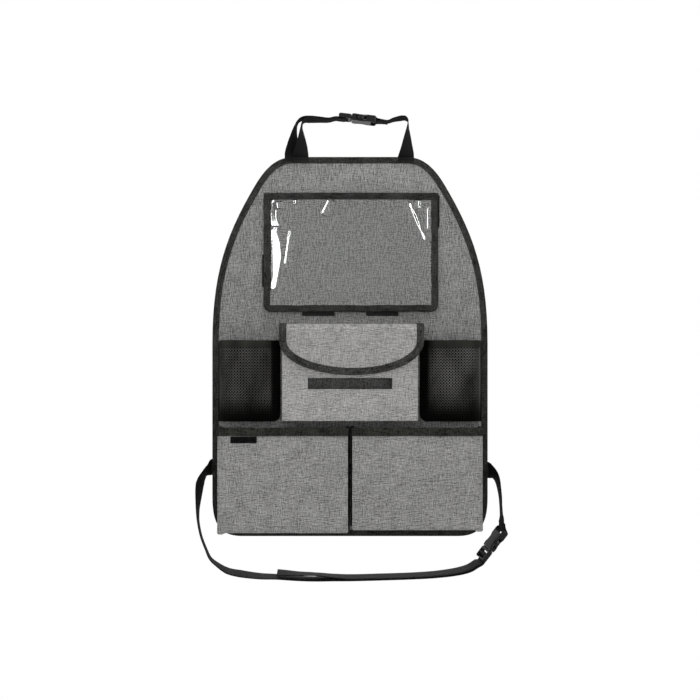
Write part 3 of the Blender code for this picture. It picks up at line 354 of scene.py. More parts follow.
def shellMesh(name, front, back, look, slot=None):
    # A closed sheet from two grids of points that share their layout
    front, back = np.asarray(front, float), np.asarray(back, float)
    rows, columns = front.shape[:2]
    count = rows * columns
    faces = []
    for start in (0, count):
        for i in range(rows - 1):
            for k in range(columns - 1):
                a = start + i * columns + k
                quad = (a, a + 1, a + columns + 1, a + columns)
                faces.append(quad if start else quad[::-1])
    rim = list(range(columns))
    rim += [i * columns + columns - 1 for i in range(1, rows)]
    rim += [(rows - 1) * columns + k for k in range(columns - 2, -1, -1)]
    rim += [i * columns for i in range(rows - 2, 0, -1)]
    for a, b in zip(rim, rim[1:] + rim[:1]):
        faces.append((a, b, b + count, a + count))
    points = np.concatenate([front.reshape(-1, 3), back.reshape(-1, 3)])
    across = lengths(front[rows // 2])
    down = lengths(front[:, columns // 2])
    uv = np.stack(np.meshgrid(across, down), axis=-1).reshape(-1, 2)
    return addMesh(name, points, fixSides(points, faces), look, np.concatenate([uv, uv]), slot)


def sweep(name, path, inward, outward, section, look, closed=False, slot=None):
    # A section of (inward, outward) distances carried along a path
    path, inward = np.asarray(path, float), np.asarray(inward, float)
    outward = np.broadcast_to(np.asarray(outward, float), path.shape)
    section = np.asarray(section, float)
    if section.ndim == 2:
        section = np.broadcast_to(section, (len(path), *section.shape))
    rings = path[:, None] + inward[:, None] * section[..., :1] + outward[:, None] * section[..., 1:]
    return ringMesh(name, rings, look, closed, slot)


def wobble(x, z, scale, seed=0.0):
    # Smooth unevenness between -1 and 1
    return noise.noise(Vector((x * scale, z * scale, seed)))


def resample(points, step, closed=False):
    # Even points along a path
    points = np.asarray(points, float)
    if closed:
        points = np.concatenate([points, points[:1]])
    along = lengths(points)
    count = max(2, round(along[-1] / step) + 1)
    places = np.linspace(0, along[-1], count)
    found = np.stack([np.interp(places, along, points[:, i]) for i in range(points.shape[1])], axis=1)
    return found[:-1] if closed else found


def lefts(points, closed=False):
    # Unit normals to the left of a flat path
    points = np.asarray(points, float)
    if closed:
        ahead, behind = np.roll(points, -1, axis=0), np.roll(points, 1, axis=0)
    else:
        ahead = np.concatenate([points[1:], points[-1:]])
        behind = np.concatenate([points[:1], points[:-1]])
    along = ahead - behind
    along /= np.linalg.norm(along, axis=1)[:, None]
    return np.stack([-along[:, 1], along[:, 0]], axis=1)


def flatten(pairs, depth):
    # (x, z) pairs at a depth, as points
    pairs = np.asarray(pairs, float)
    return np.stack([pairs[:, 0], np.broadcast_to(depth, len(pairs)), pairs[:, 1]], axis=1)


def bezier(p0, p1, p2, p3, steps):
    t = np.linspace(0, 1, steps + 1)[1:, None]
    s = 1 - t
    points = s**3 * np.array(p0) + 3 * s * s * t * np.array(p1)
    points += 3 * s * t * t * np.array(p2) + t**3 * np.array(p3)
    return points.tolist()


def arc(centre, radii, start, end, steps):
    angles = np.radians(np.linspace(start, end, steps + 1))
    return [[centre[0] + radii[0] * math.cos(a), centre[1] + radii[1] * math.sin(a)] for a in angles]


def foldedSection(lip, span, thick):
    # Tape folded round an edge, as (inward, outward) with outward 0 at its middle
    half, dip, steps = span / 2, 0.25 * mm, 6
    bend = min(half, 2.2 * mm)
    upper = [(lip, half - dip), (lip - 1.4 * mm, half - dip * 0.6)]
    upper += [(lip - 3.4 * mm, half), (bend + 0.6 * mm, half)]
    for a in np.linspace(0, math.pi / 2, steps):
        upper.append((bend - bend * math.sin(a), half - bend + bend * math.cos(a)))
    outer = upper + [(a, -b) for a, b in upper[::-1]]
    inner = [(max(a, thick) if a < bend + 0.1 * mm else a, b - math.copysign(thick, b)) for a, b in outer]
    return outer + [(a, b) for a, b in inner[::-1] if a > thick * 0.99]


def unevenSections(section, path, amount, scale, seed):
    # The same tape at each point of a path, a little wider or narrower
    sections = []
    for x, z in path:
        scaled = np.array(section)
        scaled[:, 0] *= 1 + amount * wobble(x, z, scale, seed)
        sections.append(scaled)
    return sections


def stitches(
    name, path, outward, look="thread", pitch=3.6 * mm, length=2.5 * mm, radius=0.28 * mm, slot="black_tape"
):
    # A row of thread stitches lying on a surface along a path
    path = np.asarray(path, float)
    outward = np.broadcast_to(np.asarray(outward, float), path.shape)
    along = lengths(path)

    def at(table, distance):
        return np.array([np.interp(distance, along, table[:, i]) for i in range(3)])

    points, faces, uvs = [], [], []
    sides = 5
    profile = ((-0.5, 0.25, -0.5), (-0.34, 0.9, 0.1), (0, 1.0, 0.45), (0.34, 0.9, 0.1), (0.5, 0.25, -0.5))
    for n in range(int(along[-1] // pitch)):
        middle = (n + 0.5) * pitch
        point, up = at(path, middle), at(outward, middle)
        run = at(path, middle + 0.3 * mm) - point
        run /= np.linalg.norm(run) or 1
        side = np.cross(run, up)
        faces += ringFaces(len(profile), sides, False, len(points))
        for reach, width, lift in profile:
            centre = point + run * reach * length + up * lift * radius
            for k in range(sides):
                angle = 2 * math.pi * k / sides
                points.append(centre + (side * math.cos(angle) + up * math.sin(angle)) * radius * width)
                uvs.append((k * 0.0003, middle + reach * length))
    return addMesh(name, points, fixSides(points, faces), look, uvs, slot)


def paleStitches(name, path, pitch=3.6 * mm, length=2.6 * mm):
    stitches(name, path, front, "greyThread", pitch, length, 0.22 * mm, "grey_cloth")


sizes = {"gap": 0.3 * mm, "fabric": 1.0 * mm, "tape": 0.9 * mm}  # what the pieces share
panel = {
    "width": 427 * mm,
    "height": 588 * mm,
    "topHalf": 88 * mm,  # half of the straight top edge
    "shoulder": (146 * mm, 42 * mm),  # across and down from the top, where the sides start to slant
    "shoulderPulls": (110 * mm, 128 * mm, 12 * mm),  # across, across and down, for the curve's handles
    "slant": (0.512, -0.859),
    "sidePulls": (90 * mm, 110 * mm),
    "fullDrop": 290 * mm,  # below this the panel has its full width
    "corner": (46 * mm, 60 * mm),
    "cornerPull": 0.72,
    "binding": 10 * mm,
    "seam": 8.3 * mm,
    "liningSink": 1.5 * mm,
    "liningEdge": 10.3 * mm,
    "liningSlope": 3.7 * mm,
}
gap, fabric, tapeThick = sizes["gap"], sizes["fabric"], sizes["tape"]
panelTop, panelBottom = panel["height"] / 2, -panel["height"] / 2
inset = tapeThick + gap
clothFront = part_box("front_cloth")[0].y
bindingFront, bindingBack = [corner.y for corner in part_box("panel_binding")]
seat = clothFront - gap
front = (0, -1, 0)


def panelOutline():
    # The panel's bound edge as (x, z), with the inside to the left
    half, top = panel["width"] / 2, [panel["topHalf"], panelTop]
    start = (panel["shoulder"][0], panelTop - panel["shoulder"][1])
    (near, far, drop), (upper, lower) = panel["shoulderPulls"], panel["sidePulls"]
    shoulder = bezier(top, (near, panelTop), (far, panelTop - drop), start, 9)
    slant = Vector(panel["slant"]).normalized() * upper
    low = panelTop - panel["fullDrop"]
    side = bezier(start, (start[0] + slant.x, start[1] + slant.y), (half, low + lower), (half, low), 14)
    (wide, tall), loose = panel["corner"], 1 - panel["cornerPull"]
    first, last = [half, panelBottom + tall], [half - wide, panelBottom]
    corner = bezier(first, (half, panelBottom + tall * loose), (half - wide * loose, panelBottom), last, 16)
    down = [top] + shoulder + side + [first] + corner
    return np.array(down[::-1] + [[-x, z] for x, z in down])


def moved(points, distance, closed=True):
    return np.asarray(points) + lefts(points, closed) * distance


def widthAt(outline):
    # Half width of a closed outline at a height
    right = outline[outline[:, 0] > 0]
    right = right[np.argsort(right[:, 1])]
    return lambda z: float(np.interp(z, right[:, 1], right[:, 0]))


def panelSheet(name, outline, surface, thick, look, slot, columns=56, rows=84):
    # A sheet that fills a panel outline: surface gives the depth of its rear face
    half = widthAt(outline)
    low, high = outline[:, 1].min(), outline[:, 1].max()
    turns = (1 - np.cos(np.linspace(0, math.pi, rows + 1))) / 2
    heights = low + (high - low) * (0.55 * turns + 0.45 * np.linspace(0, 1, rows + 1))
    spots = np.sin(np.linspace(-1, 1, columns + 1) * math.pi / 2) * 0.5 + np.linspace(-1, 1, columns + 1) * 0.5
    rear = np.array([[(u * half(z), surface(u * half(z), z), z) for u in spots] for z in heights[::-1]])
    return shellMesh(name, rear - np.array([0, thick, 0]), rear, look, slot)


outline = panelOutline()
clothEdge = moved(outline, inset)


def makePanel():
    def frontDepth(x, z):
        return clothFront + fabric + 0.10 * mm * wobble(x, z, 14, 3.0)

    cloth = panelSheet("frontCloth", clothEdge, frontDepth, fabric, "cloth", "grey_cloth")
    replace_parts(cloth, "front_cloth")
    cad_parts["stiffener_board"].data.materials.clear()
    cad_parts["stiffener_board"].data.materials.append(looks["board"])

    edge, sink = panel["liningEdge"], panel["liningSink"]
    outer = widthAt(moved(outline, edge))

    def liningDepth(x, z):
        room = min(outer(z) - abs(x), z - panelBottom - edge, panelTop - edge - z)
        return -sink * (1 - smooth(unit(room / panel["liningSlope"])))

    lining = panelSheet("backLining", clothEdge, liningDepth, fabric, "lining", "black_cloth", 84, 120)
    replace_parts(lining, "back_lining")

    path = resample(outline, 5 * mm, True)
    centre = (bindingFront + bindingBack) / 2
    section = foldedSection(panel["binding"], bindingBack - bindingFront, tapeThick * 0.9)
    sections = unevenSections(section, path, 0.03, 30, 7.0)
    inwards = flatten(lefts(path, True), 0)
    binding = sweep("panelBinding", flatten(path, centre), inwards, front, sections, "tape", True, "black_tape")
    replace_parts(binding, "panel_binding")
    seam = moved(path, panel["seam"])
    seam = np.concatenate([seam, seam[:1]])
    stitches("bindingStitches", flatten(seam, bindingFront + 0.1 * mm), front)
    stitches("bindingStitchesBack", flatten(seam, bindingBack - 0.1 * mm), (0, 1, 0))


makePanel()
print("panel ready")


def rounded(distance, radius, least):
    # Share of the full thickness at a distance from a rounded edge
    r = min(1, distance / radius)
    return max(least, math.sqrt(max(0, 1 - (1 - r) ** 2)))


def softPlate(name, low, high, depth, thick, look, slot, shape=None, bow=None, corner=3 * mm, cells=(40, 30)):
    # A stiff cloth-covered plate with rounded edges and corners; depth is its middle
    def lines(a, b, count):
        ends = [0, 0.12 * mm, 0.35 * mm, 0.8 * mm, 1.6 * mm]
        middle = np.linspace(a + 3 * mm, b - 3 * mm, count)
        return np.array([a + e for e in ends] + list(middle) + [b - e for e in ends[::-1]])

    xs, zs = lines(low[0], high[0], cells[0]), lines(low[1], high[1], cells[1])
    fronts, backs = [], []
    for z in zs[::-1]:
        rows = [], []
        for x in xs:
            dx, dz = min(x - low[0], high[0] - x), min(z - low[1], high[1] - z)
            px, pz = x, z
            if dx < corner and dz < corner:
                cx, cz = corner - dx, corner - dz
                shrink = max(cx, cz) / (math.hypot(cx, cz) or 1)
                inX, inZ = corner - cx * shrink, corner - cz * shrink
                px = low[0] + inX if x < (low[0] + high[0]) / 2 else high[0] - inX
                pz = low[1] + inZ if z < (low[1] + high[1]) / 2 else high[1] - inZ
            profile = rounded(min(dx, dz), 1.2 * mm, 0.12)
            if shape:
                px, pz = shape(px, pz)
            y = depth + (bow(px, pz) if bow else 0)
            for row, way in zip(rows, (-1, 1)):
                row.append((px, y + way * thick / 2 * profile, pz))
        fronts.append(rows[0])
        backs.append(rows[1])
    return shellMesh(name, fronts, backs, look, slot)


def plateFor(node, name, look, slot, thick=None, **more):
    # A plate that fills the box of one of the part's nodes
    low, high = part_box(node)
    depth = (low.y + high.y) / 2
    made = softPlate(name, (low.x, low.z), (high.x, high.z), depth, thick or high.y - low.y, look, slot, **more)
    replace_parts(made, node)


def wallMesh(name, rear, foot, yRear, yFront, sag, look, slot, folds):
    # A cloth gusset from its seam on the panel to the edge of a pocket front
    rear, foot = np.asarray(rear, float), np.asarray(foot, float)
    outer, inner = [], []
    for t in np.linspace(0, 1, 13):
        row = rear * (1 - t) + foot * t
        dip = sag * math.sin(math.pi * t)
        fold = [folds * math.sin(math.pi * t) * wobble(p[0] + t * 0.02, p[1], 55, 2.0) for p in row]
        y = yRear + (yFront - yRear) * t
        row = row + lefts(row) * (dip + np.array(fold))[:, None]
        outer.append(flatten(row, y))
        inner.append(flatten(row + lefts(row) * fabric, y))
    outer, inner = [np.array(layers).transpose(1, 0, 2) for layers in (outer, inner)]
    return shellMesh(name, outer, inner, look, slot)


def pocketPath(left, right, top, leftCorner, rightCorner, bottom):
    # Down the left side, along the bottom and up the right, with the inside to the left
    lowerLeft = arc((left + leftCorner[0], bottom + leftCorner[1]), leftCorner, 180, 270, 8)
    lowerRight = arc((right - rightCorner[0], bottom + rightCorner[1]), rightCorner, 270, 360, 8)
    sides = np.linspace(top, bottom + leftCorner[1], 22)[:-1]
    others = np.linspace(bottom + rightCorner[1], top, 22)[1:]
    run = np.linspace(left + leftCorner[0], right - rightCorner[0], 26)[1:-1]
    path = [[left, z] for z in sides] + lowerLeft + [[x, bottom] for x in run] + lowerRight
    return np.array(path + [[right, z] for z in others])


def rimTape(name, path, top, height, width, look, slot, wave=0.0):
    # A band folded over a pocket's top edge: path is the wall's outer face as (x, y), inside to the left
    path = resample(path, 3 * mm)
    t = tapeThick
    half = (width + 2 * gap + 2 * t) / 2
    crown = min(half, 1.6 * mm)
    outer = [(half, -height), (half + 0.15 * mm, -height * 0.66), (half + 0.2 * mm, -height * 0.33)]
    for a in np.linspace(math.pi / 2, 0, 5):
        outer.append((half - crown * (1 - math.sin(a)), t - crown + crown * math.cos(a)))
    outer += [(-a, b) for a, b in outer[::-1]]
    section = list(outer)
    for a, b in outer[::-1]:
        across = a - math.copysign(t * 0.9, a) if abs(a) > t else a * 0.2
        section.append((across, b if b <= -height * 0.3 else b - t))
    rings = []
    for (x, y), n in zip(path, lefts(path)):
        droop = wave * wobble(x, y, 25, 5.0)
        x, y = x + n[0] * width / 2, y + n[1] * width / 2
        rings.append([(x - n[0] * a, min(y - n[1] * a, seat), top + gap + b + droop) for a, b in section])
    return ringMesh(name, rings, look, False, slot)


def spreadPath(left, right, top, bottom, out, rise):
    # The same path with small lower corners that stand out past the sides
    small = (3 * mm, 3 * mm)
    path = pocketPath(left, right, top, small, small, bottom)
    reach = np.clip(1 - (path[:, 1] - bottom) / rise, 0, 1)
    inside = (path[:, 0] > left + 3.1 * mm) & (path[:, 0] < right - 3.1 * mm)
    offset = path[:, 0] - (left + right) / 2
    fade = np.where(inside, np.abs(offset) / ((right - left) / 2), 1)
    path[:, 0] += np.sign(offset) * out * reach * fade**8
    return path


box = {
    "plate": 2.2 * mm,
    "band": 12 * mm,
    "corner": (3 * mm, 3 * mm),
    "sewnCorner": (32 * mm, 42 * mm),  # follows the panel's lower corner
    "foot": 2.6 * mm,
    "meet": 2.6 * mm,  # how far each gusset's seam reaches to the other box
    "sag": 1.6 * mm,
    "folds": 1.5 * mm,
    "innerInset": (0.5 * mm, 0.7 * mm),  # of the left and the right box's inner edge
    "ear": (11.2, 2.3 * mm),  # how far in (mm) and down the outer corner hangs
    "wave": 0.4 * mm,
    "bulge": 0.5 * mm,
    "seam": 2.4 * mm,
}


def makeBox(side):
    label = "left" if side < 0 else "right"
    low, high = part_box(f"{label}_box_front")
    top, bottom = high.z, low.z + box["foot"]
    left = low.x + (box["innerInset"][1] if side > 0 else 0)
    right = high.x - (box["innerInset"][0] if side < 0 else 0)
    small, sewn = box["corner"], box["sewnCorner"]
    corners = (sewn, small) if side < 0 else (small, sewn)
    meet = box["meet"]
    seams = left - (meet if side > 0 else 0), right + (meet if side < 0 else 0)
    rear = pocketPath(*seams, top, *corners, bottom)
    foot = pocketPath(left, right, top, small, small, bottom)
    gusset = wallMesh(
        f"{label}BoxGusset", rear, foot, seat, high.y + gap, box["sag"],
        "clothBlack", "black_cloth", box["folds"],
    )
    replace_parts(gusset, f"{label}_box_gusset")

    def shape(x, z):
        low = math.exp(-((z - bottom) ** 2) / (2 * (7 * mm) ** 2))
        outwards = (x - (left + right) / 2) / ((right - left) / 2)
        ear = 1 / (1 + math.exp((abs(x - (left if side < 0 else right)) / mm - box["ear"][0]) / 0.45))
        near = max(0, 1 - (z - bottom) / (8 * mm))
        drop = box["ear"][1] * ear * near - box["wave"] * wobble(x, 0, 12, side)
        return x + box["bulge"] * low * outwards, z - drop

    def bow(x, z):
        u = (x - left) / (right - left) * 2 - 1
        v = (z - bottom) / (top - bottom) * 2 - 1
        return box["wave"] * wobble(x, z, 11, 4.0 + side) - box["bulge"] * (1 - u * u) * (1 - v * v)

    ends = (left, bottom), (right, top), (low.y + high.y) / 2
    # the box front's cloth is a lighter copy of the panel's: painted light
    plate = softPlate(f"{label}BoxFront", *ends, box["plate"], "clothBox", "grey_cloth", shape, bow)
    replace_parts(plate, f"{label}_box_front")
    turn = small[0]
    path = [(left, seat)] + arc((left + turn, low.y + turn), small, 180, 270, 5)
    path += arc((right - turn, low.y + turn), small, 270, 360, 5) + [(right, seat)]
    band = rimTape(f"{label}BoxBinding", path, top, box["band"], box["plate"], "band", "black_tape", 0.3 * mm)
    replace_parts(band, f"{label}_box_binding")
    line = [(x, top - box["band"] + 1.6 * mm) for x in np.linspace(left + 4 * mm, right - 4 * mm, 40)]
    stitches(f"{label}BoxBandStitches", flatten(line, low.y - gap - tapeThick - 0.1 * mm), front)
    seam = box["seam"]
    edge = pocketPath(left + seam, right - seam, top - box["band"] - 2 * mm, small, small, bottom + seam)
    paleStitches(f"{label}BoxEdgeStitches", flatten(edge, low.y - 0.25 * mm), 4 * mm, 2.9 * mm)


for side in (-1, 1):
    makeBox(side)
print("box pockets ready")

blankLabel = {"thick": 0.8 * mm, "curl": 0.3 * mm, "corner": 0.6 * mm}


def makeLabel():
    low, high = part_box("blank_label")

    def bow(x, z):
        return -blankLabel["curl"] * (high.z - z) / (high.z - low.z)

    plateFor(
        "blank_label", "blankLabel", "clothBlack", "black_tape", blankLabel["thick"], bow=bow,
        corner=blankLabel["corner"], cells=(24, 10),
    )


makeLabel()

tissue = {
    "slot": (64 * mm, 8.5 * mm),  # half width and half height
    "slotHeight": -56.5 * mm,
    "slotSeam": 2 * mm,  # round the slot
    "thick": 2.2 * mm,
    "rounding": 1.1 * mm,
    "wave": 0.5 * mm,
    "spread": 7 * mm,  # how far the gusset's seam stands out at the bottom
    "sag": 1.6 * mm,
    "folds": 1.2 * mm,
}


def makeTissuePocket():
    low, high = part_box("tissue_front")
    left, right, top, bottom = low.x, high.x, high.z, low.z
    middle = (low.y + high.y) / 2
    rear = spreadPath(left, right, top, bottom, tissue["spread"], 9 * mm)
    foot = spreadPath(left, right, top, bottom, 0, 9 * mm)
    gusset = wallMesh(
        "tissueGusset", rear, foot, seat, high.y + gap, tissue["sag"],
        "cloth", "grey_cloth", tissue["folds"],
    )
    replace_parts(gusset, "tissue_gusset")

    def frameLine(a, b, c, d, count):
        corners = [(a, c), (b, c), (b, d), (a, d)]
        found = []
        for p, q in zip(corners, corners[1:] + corners[:1]):
            for i in range(count):
                found.append((p[0] + (q[0] - p[0]) * i / count, p[1] + (q[1] - p[1]) * i / count))
        return np.array(found)

    (half, tall), slotMiddle, seam = tissue["slot"], tissue["slotHeight"], tissue["slotSeam"]
    outer = frameLine(left, right, bottom, top, 36)
    inner = frameLine(-half, half, slotMiddle - tall, slotMiddle + tall, 36)
    steps = [0, 0.001, 0.003, 0.007, 0.014, 0.03, 0.08, 0.2, 0.35, 0.5, 0.65, 0.8, 0.92, 0.97, 0.99, 1.0]
    rings = []
    for a, b in zip(outer, inner):
        reach = np.linalg.norm(b - a)
        ring = []
        for s in (1, -1):
            row = []
            for t in steps:
                spot = a + (b - a) * t
                profile = rounded(min(t, 1 - t) * reach, tissue["rounding"], 0.15)
                bow = tissue["wave"] * wobble(spot[0], spot[1], 12, 9.0)
                row.append((spot[0], middle + bow - s * tissue["thick"] / 2 * profile, spot[1]))
            ring += row if s > 0 else row[::-1]
        rings.append(ring)
    # the tissue front's cloth is a lighter copy of the panel's: painted light
    face = ringMesh("tissueFront", rings, "clothTissuePaintedLight", True, "grey_cloth")
    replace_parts(face, "tissue_front")
    half, tall = half + seam, tall + seam
    border = frameLine(-half, half, slotMiddle - tall, slotMiddle + tall, 30)
    paleStitches("slotStitches", flatten(np.concatenate([border, border[:1]]), low.y - 0.1 * mm))
    for node, name in (("pocket_loop_tape", "pocketLoopTape"), ("flap_hook_tape", "flapHookTape")):
        plateFor(node, name, "hook", "black_tape", 0.95 * mm, corner=1 * mm, cells=(20, 8))


flap = {
    "bend": 7 * mm,
    "top": 34 * mm,
    "straight": 8.5 * mm,  # height where the sides start to curve in
    "skew": 3 * mm,  # the tip's distance from the middle
    "pull": 30 * mm,
    "settle": 0.45 * mm,
    "lip": 11 * mm,
    "seam": 9.4 * mm,
}


def makeFlap():
    a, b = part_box("tissue_flap")
    c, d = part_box("flap_binding")
    bend, top, straight, skew = flap["bend"], flap["top"], flap["straight"], flap["skew"]
    middle, half, tip = (c.x + d.x) / 2, (d.x - c.x) / 2, c.z
    flapY = a.y + fabric / 2
    bendHeight = top - bend
    turn = bend * math.pi / 2
    seam = bendHeight + turn + (seat - flapY - bend)

    def place(across, height, out):
        over = height - bendHeight
        if over <= 0:
            settle = flap["settle"] * wobble(across, height, 14, 6.0)
            return (middle + across, flapY - out + settle, height)
        if over < turn:
            angle, reach = over / bend, bend + out
            back, rise = flapY + bend - reach * math.cos(angle), bendHeight + reach * math.sin(angle)
            return (middle + across, back, rise)
        return (middle + across, flapY + bend + over - turn, top + out)

    def halfEdge(side):
        bent = (skew + 0.56 * (side - skew), tip)
        curve = bezier((side, straight), (side, straight - flap["pull"]), bent, (skew, tip), 18)
        return [[side, z] for z in np.linspace(seam, straight, 22)] + curve

    leftEdge, rightEdge = halfEdge(-half), halfEdge(half)
    edge = np.array(leftEdge + rightEdge[-2::-1])
    cloth = edge + lefts(edge) * inset
    fronts, backs = [], []
    for p, q in zip(cloth[:len(rightEdge) - 1], cloth[::-1]):
        spots = [(p[0] + (q[0] - p[0]) * t, (p[1] + q[1]) / 2) for t in np.linspace(0, 1, 37)]
        fronts.append([place(x, z, fabric / 2) for x, z in spots])
        backs.append([place(x, z, -fabric / 2) for x, z in spots])
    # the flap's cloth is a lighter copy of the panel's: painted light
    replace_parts(shellMesh("tissueFlap", fronts, backs, "clothFlapPaintedLight", "grey_cloth"), "tissue_flap")

    edge = resample(edge, 3.5 * mm)
    inwards = lefts(edge)
    reach = fabric / 2 + gap + tapeThick
    section = foldedSection(flap["lip"], 2 * reach, tapeThick * 0.85)
    rings = [[place(x + n[0] * s, z + n[1] * s, o) for s, o in section] for (x, z), n in zip(edge, inwards)]
    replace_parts(ringMesh("flapBinding", rings, "paleTape", False, "black_tape"), "flap_binding")
    seamLine = edge + inwards * flap["seam"]
    stitches("flapStitches", [place(x, z, reach - 0.1 * mm) for x, z in seamLine], front)
    across = np.linspace(-half + 14 * mm, half - 14 * mm, 30)
    paleStitches("flapLine", [place(x, -1 * mm, fabric / 2) for x in across])


makeTissuePocket()
makeFlap()
print("tissue pocket ready")


net = {
    "power": 3.4,  # higher makes the pocket squarer
    "slant": 13 * mm,  # how far the inner side leans out
    "corner": 12 * mm,
    "pull": 0.7 * mm,
    "pitch": 4.5 * mm,
    "step": 1.125 * mm,
    "bend": 0.45 * mm,
    "thread": 0.37 * mm,
    "band": 10 * mm,
    "bandWave": 0.3 * mm,
    "hem": (2.0 * mm, 0.6 * mm),  # outside and inside the pocket's edge
}


def makeMeshPocket(side):
    label = "left" if side < 0 else "right"
    low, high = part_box(f"{label}_mesh_pocket")
    inner, outer = (high.x, low.x) if side < 0 else (low.x, high.x)
    centre, half = (inner + outer) / 2, abs(outer - inner) / 2
    depth, top, bottom = high.y - low.y, high.z, low.z
    power, corner = 2 / net["power"], net["corner"]

    def curved(angle):
        across = -math.copysign(abs(math.cos(angle)) ** power, math.cos(angle))
        return across, abs(math.sin(angle)) ** power

    def surface(u, v, lift=0.0):
        across, out = curved(math.pi * u)
        down, hold = curved(math.pi / 2 * (1 + v))
        z = top - (top - bottom + lift) * down
        rise = min(corner, max(0, z - bottom))
        lean = net["slant"] * out * hold + corner - math.sqrt(corner**2 - (corner - rise) ** 2)
        pull = net["pull"] * out * hold * wobble(u * 0.09, v * 0.09, 40, side)
        x = centre + (half + lift) * across + side * (1 - side * across) / 2 * lean
        return np.array((x, seat - (depth + lift) * out * hold - pull, z))

    def grid(lift, columns=40, rows=26):
        return [[surface(i / columns, j / rows, lift) for i in range(columns + 1)] for j in range(rows + 1)]

    pocket = shellMesh(f"{label}MeshPocket", grid(-0.7 * mm), grid(-1.2 * mm), "netBack", "mesh")
    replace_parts(pocket, f"{label}_mesh_pocket")
    x0, x1 = sorted((outer + side * net["hem"][0], outer - side * net["hem"][1]))
    softPlate(
        f"{label}MeshHem", (x0, bottom), (x1, top - 0.4 * mm), seat - 0.3 * mm, 0.5 * mm, "netBand", "mesh",
        corner=0.3 * mm, cells=(3, 40),
    )

    # the net runs over an even table of the pocket's face
    columns, rows = 120, 90
    table = np.array(grid(-0.15 * mm, columns, rows))
    around, down = lengths(table[rows // 3]), lengths(table[:, columns // 2])
    wide, long = around[-1], down[-1]
    normals = np.cross(np.gradient(table, axis=1), np.gradient(table, axis=0))
    normals /= np.maximum(np.linalg.norm(normals, axis=2), 1e-12)[..., None]
    if normals[rows // 2, columns // 2, 1] > 0:
        normals = -normals

    def spot(values, a, b):
        i, j = np.interp(a, around, np.arange(columns + 1)), np.interp(b, down, np.arange(rows + 1))
        i0, j0 = min(int(i), columns - 1), min(int(j), rows - 1)
        s, t = i - i0, j - j0
        upper, lower = [values[n, i0] * (1 - s) + values[n, i0 + 1] * s for n in (j0, j0 + 1)]
        return upper * (1 - t) + lower * t

    points, faces = [], []
    pitch, edge = net["pitch"], 0.3 * mm
    for direction in (1, -1):
        start = -long if direction > 0 else 0
        for n in range(int((wide + long) / pitch)):
            line = []
            for k, b in enumerate(np.arange(0.5 * mm, long, net["step"])):
                a = start + n * pitch + direction * b + net["bend"] * (-1) ** (k // 2) * direction
                if edge <= a <= wide - edge:
                    line.append((a, b))
            if len(line) < 3:
                continue
            track = np.array([spot(table, *p) for p in line])
            faces += ringFaces(len(track), 4, False, len(points))
            for i, (point, flat) in enumerate(zip(track, line)):
                ahead = track[min(i + 1, len(track) - 1)] - track[max(i - 1, 0)]
                ahead /= np.linalg.norm(ahead) or 1
                out = spot(normals, *flat)
                out -= ahead * np.dot(out, ahead)
                out /= np.linalg.norm(out) or 1
                aside = np.cross(ahead, out)
                for x, y in ((1.05, 0), (0, 0.8), (-1.05, 0), (0, -0.6)):
                    points.append(point + (aside * x + out * y) * net["thread"])
    addMesh(f"{label}Net", points, fixSides(points, faces), "net", None, "mesh")

    path = [surface(i / 40, 0)[:2] for i in range(41)]
    band = rimTape(
        f"{label}MeshBand", path, top, net["band"], 1.2 * mm, "netBand", "black_tape", net["bandWave"]
    )
    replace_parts(band, f"{label}_mesh_band")


for side in (-1, 1):
    makeMeshPocket(side)
print("mesh pockets ready")


pouch = {
    "lip": 10.5 * mm,
    "corner": (11 * mm, 11 * mm),
    "wave": 0.7 * mm,
    "seam": 1.8 * mm,  # in from the lip's edge
    "back": 1.0 * mm,
    "backCorner": 10 * mm,
}
fasteners = {
    "left_fastener": "leftFastener",
    "right_fastener": "rightFastener",
    "lower_left_fastener": "lowerLeftFastener",
    "lower_right_fastener": "lowerRightFastener",
}


def makePouch():
    for node, name in fasteners.items():
        plateFor(node, name, "hook", "black_tape", corner=1 * mm, cells=(14, 14))

    a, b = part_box("pouch_binding")
    lip, corner = pouch["lip"], pouch["corner"]
    path = resample(pocketPath(a.x, b.x, b.z, corner, corner, a.z), 3.5 * mm)
    inwards = lefts(path)
    path = path + inwards * np.array([pouch["wave"] * wobble(x, z, 28, 8.0) for x, z in path])[:, None]
    sections = unevenSections(foldedSection(lip, b.y - a.y, tapeThick * 0.9), path, 0.07, 45, 12.0)
    line, inwards = flatten(path, (a.y + b.y) / 2), flatten(inwards, 0)
    binding = sweep("pouchBinding", line, inwards, front, sections, "tape", False, "black_tape")
    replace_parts(binding, "pouch_binding")
    stitches("pouchStitches", flatten(moved(path, lip - pouch["seam"], False), a.y + 0.1 * mm), front)
    # the cloth behind the window is a lighter copy of the panel's: painted light
    plateFor(
        "pouch_back", "pouchBack", "clothPouchPaintedLight", "grey_cloth", pouch["back"],
        corner=pouch["backCorner"], cells=(30, 24),
    )


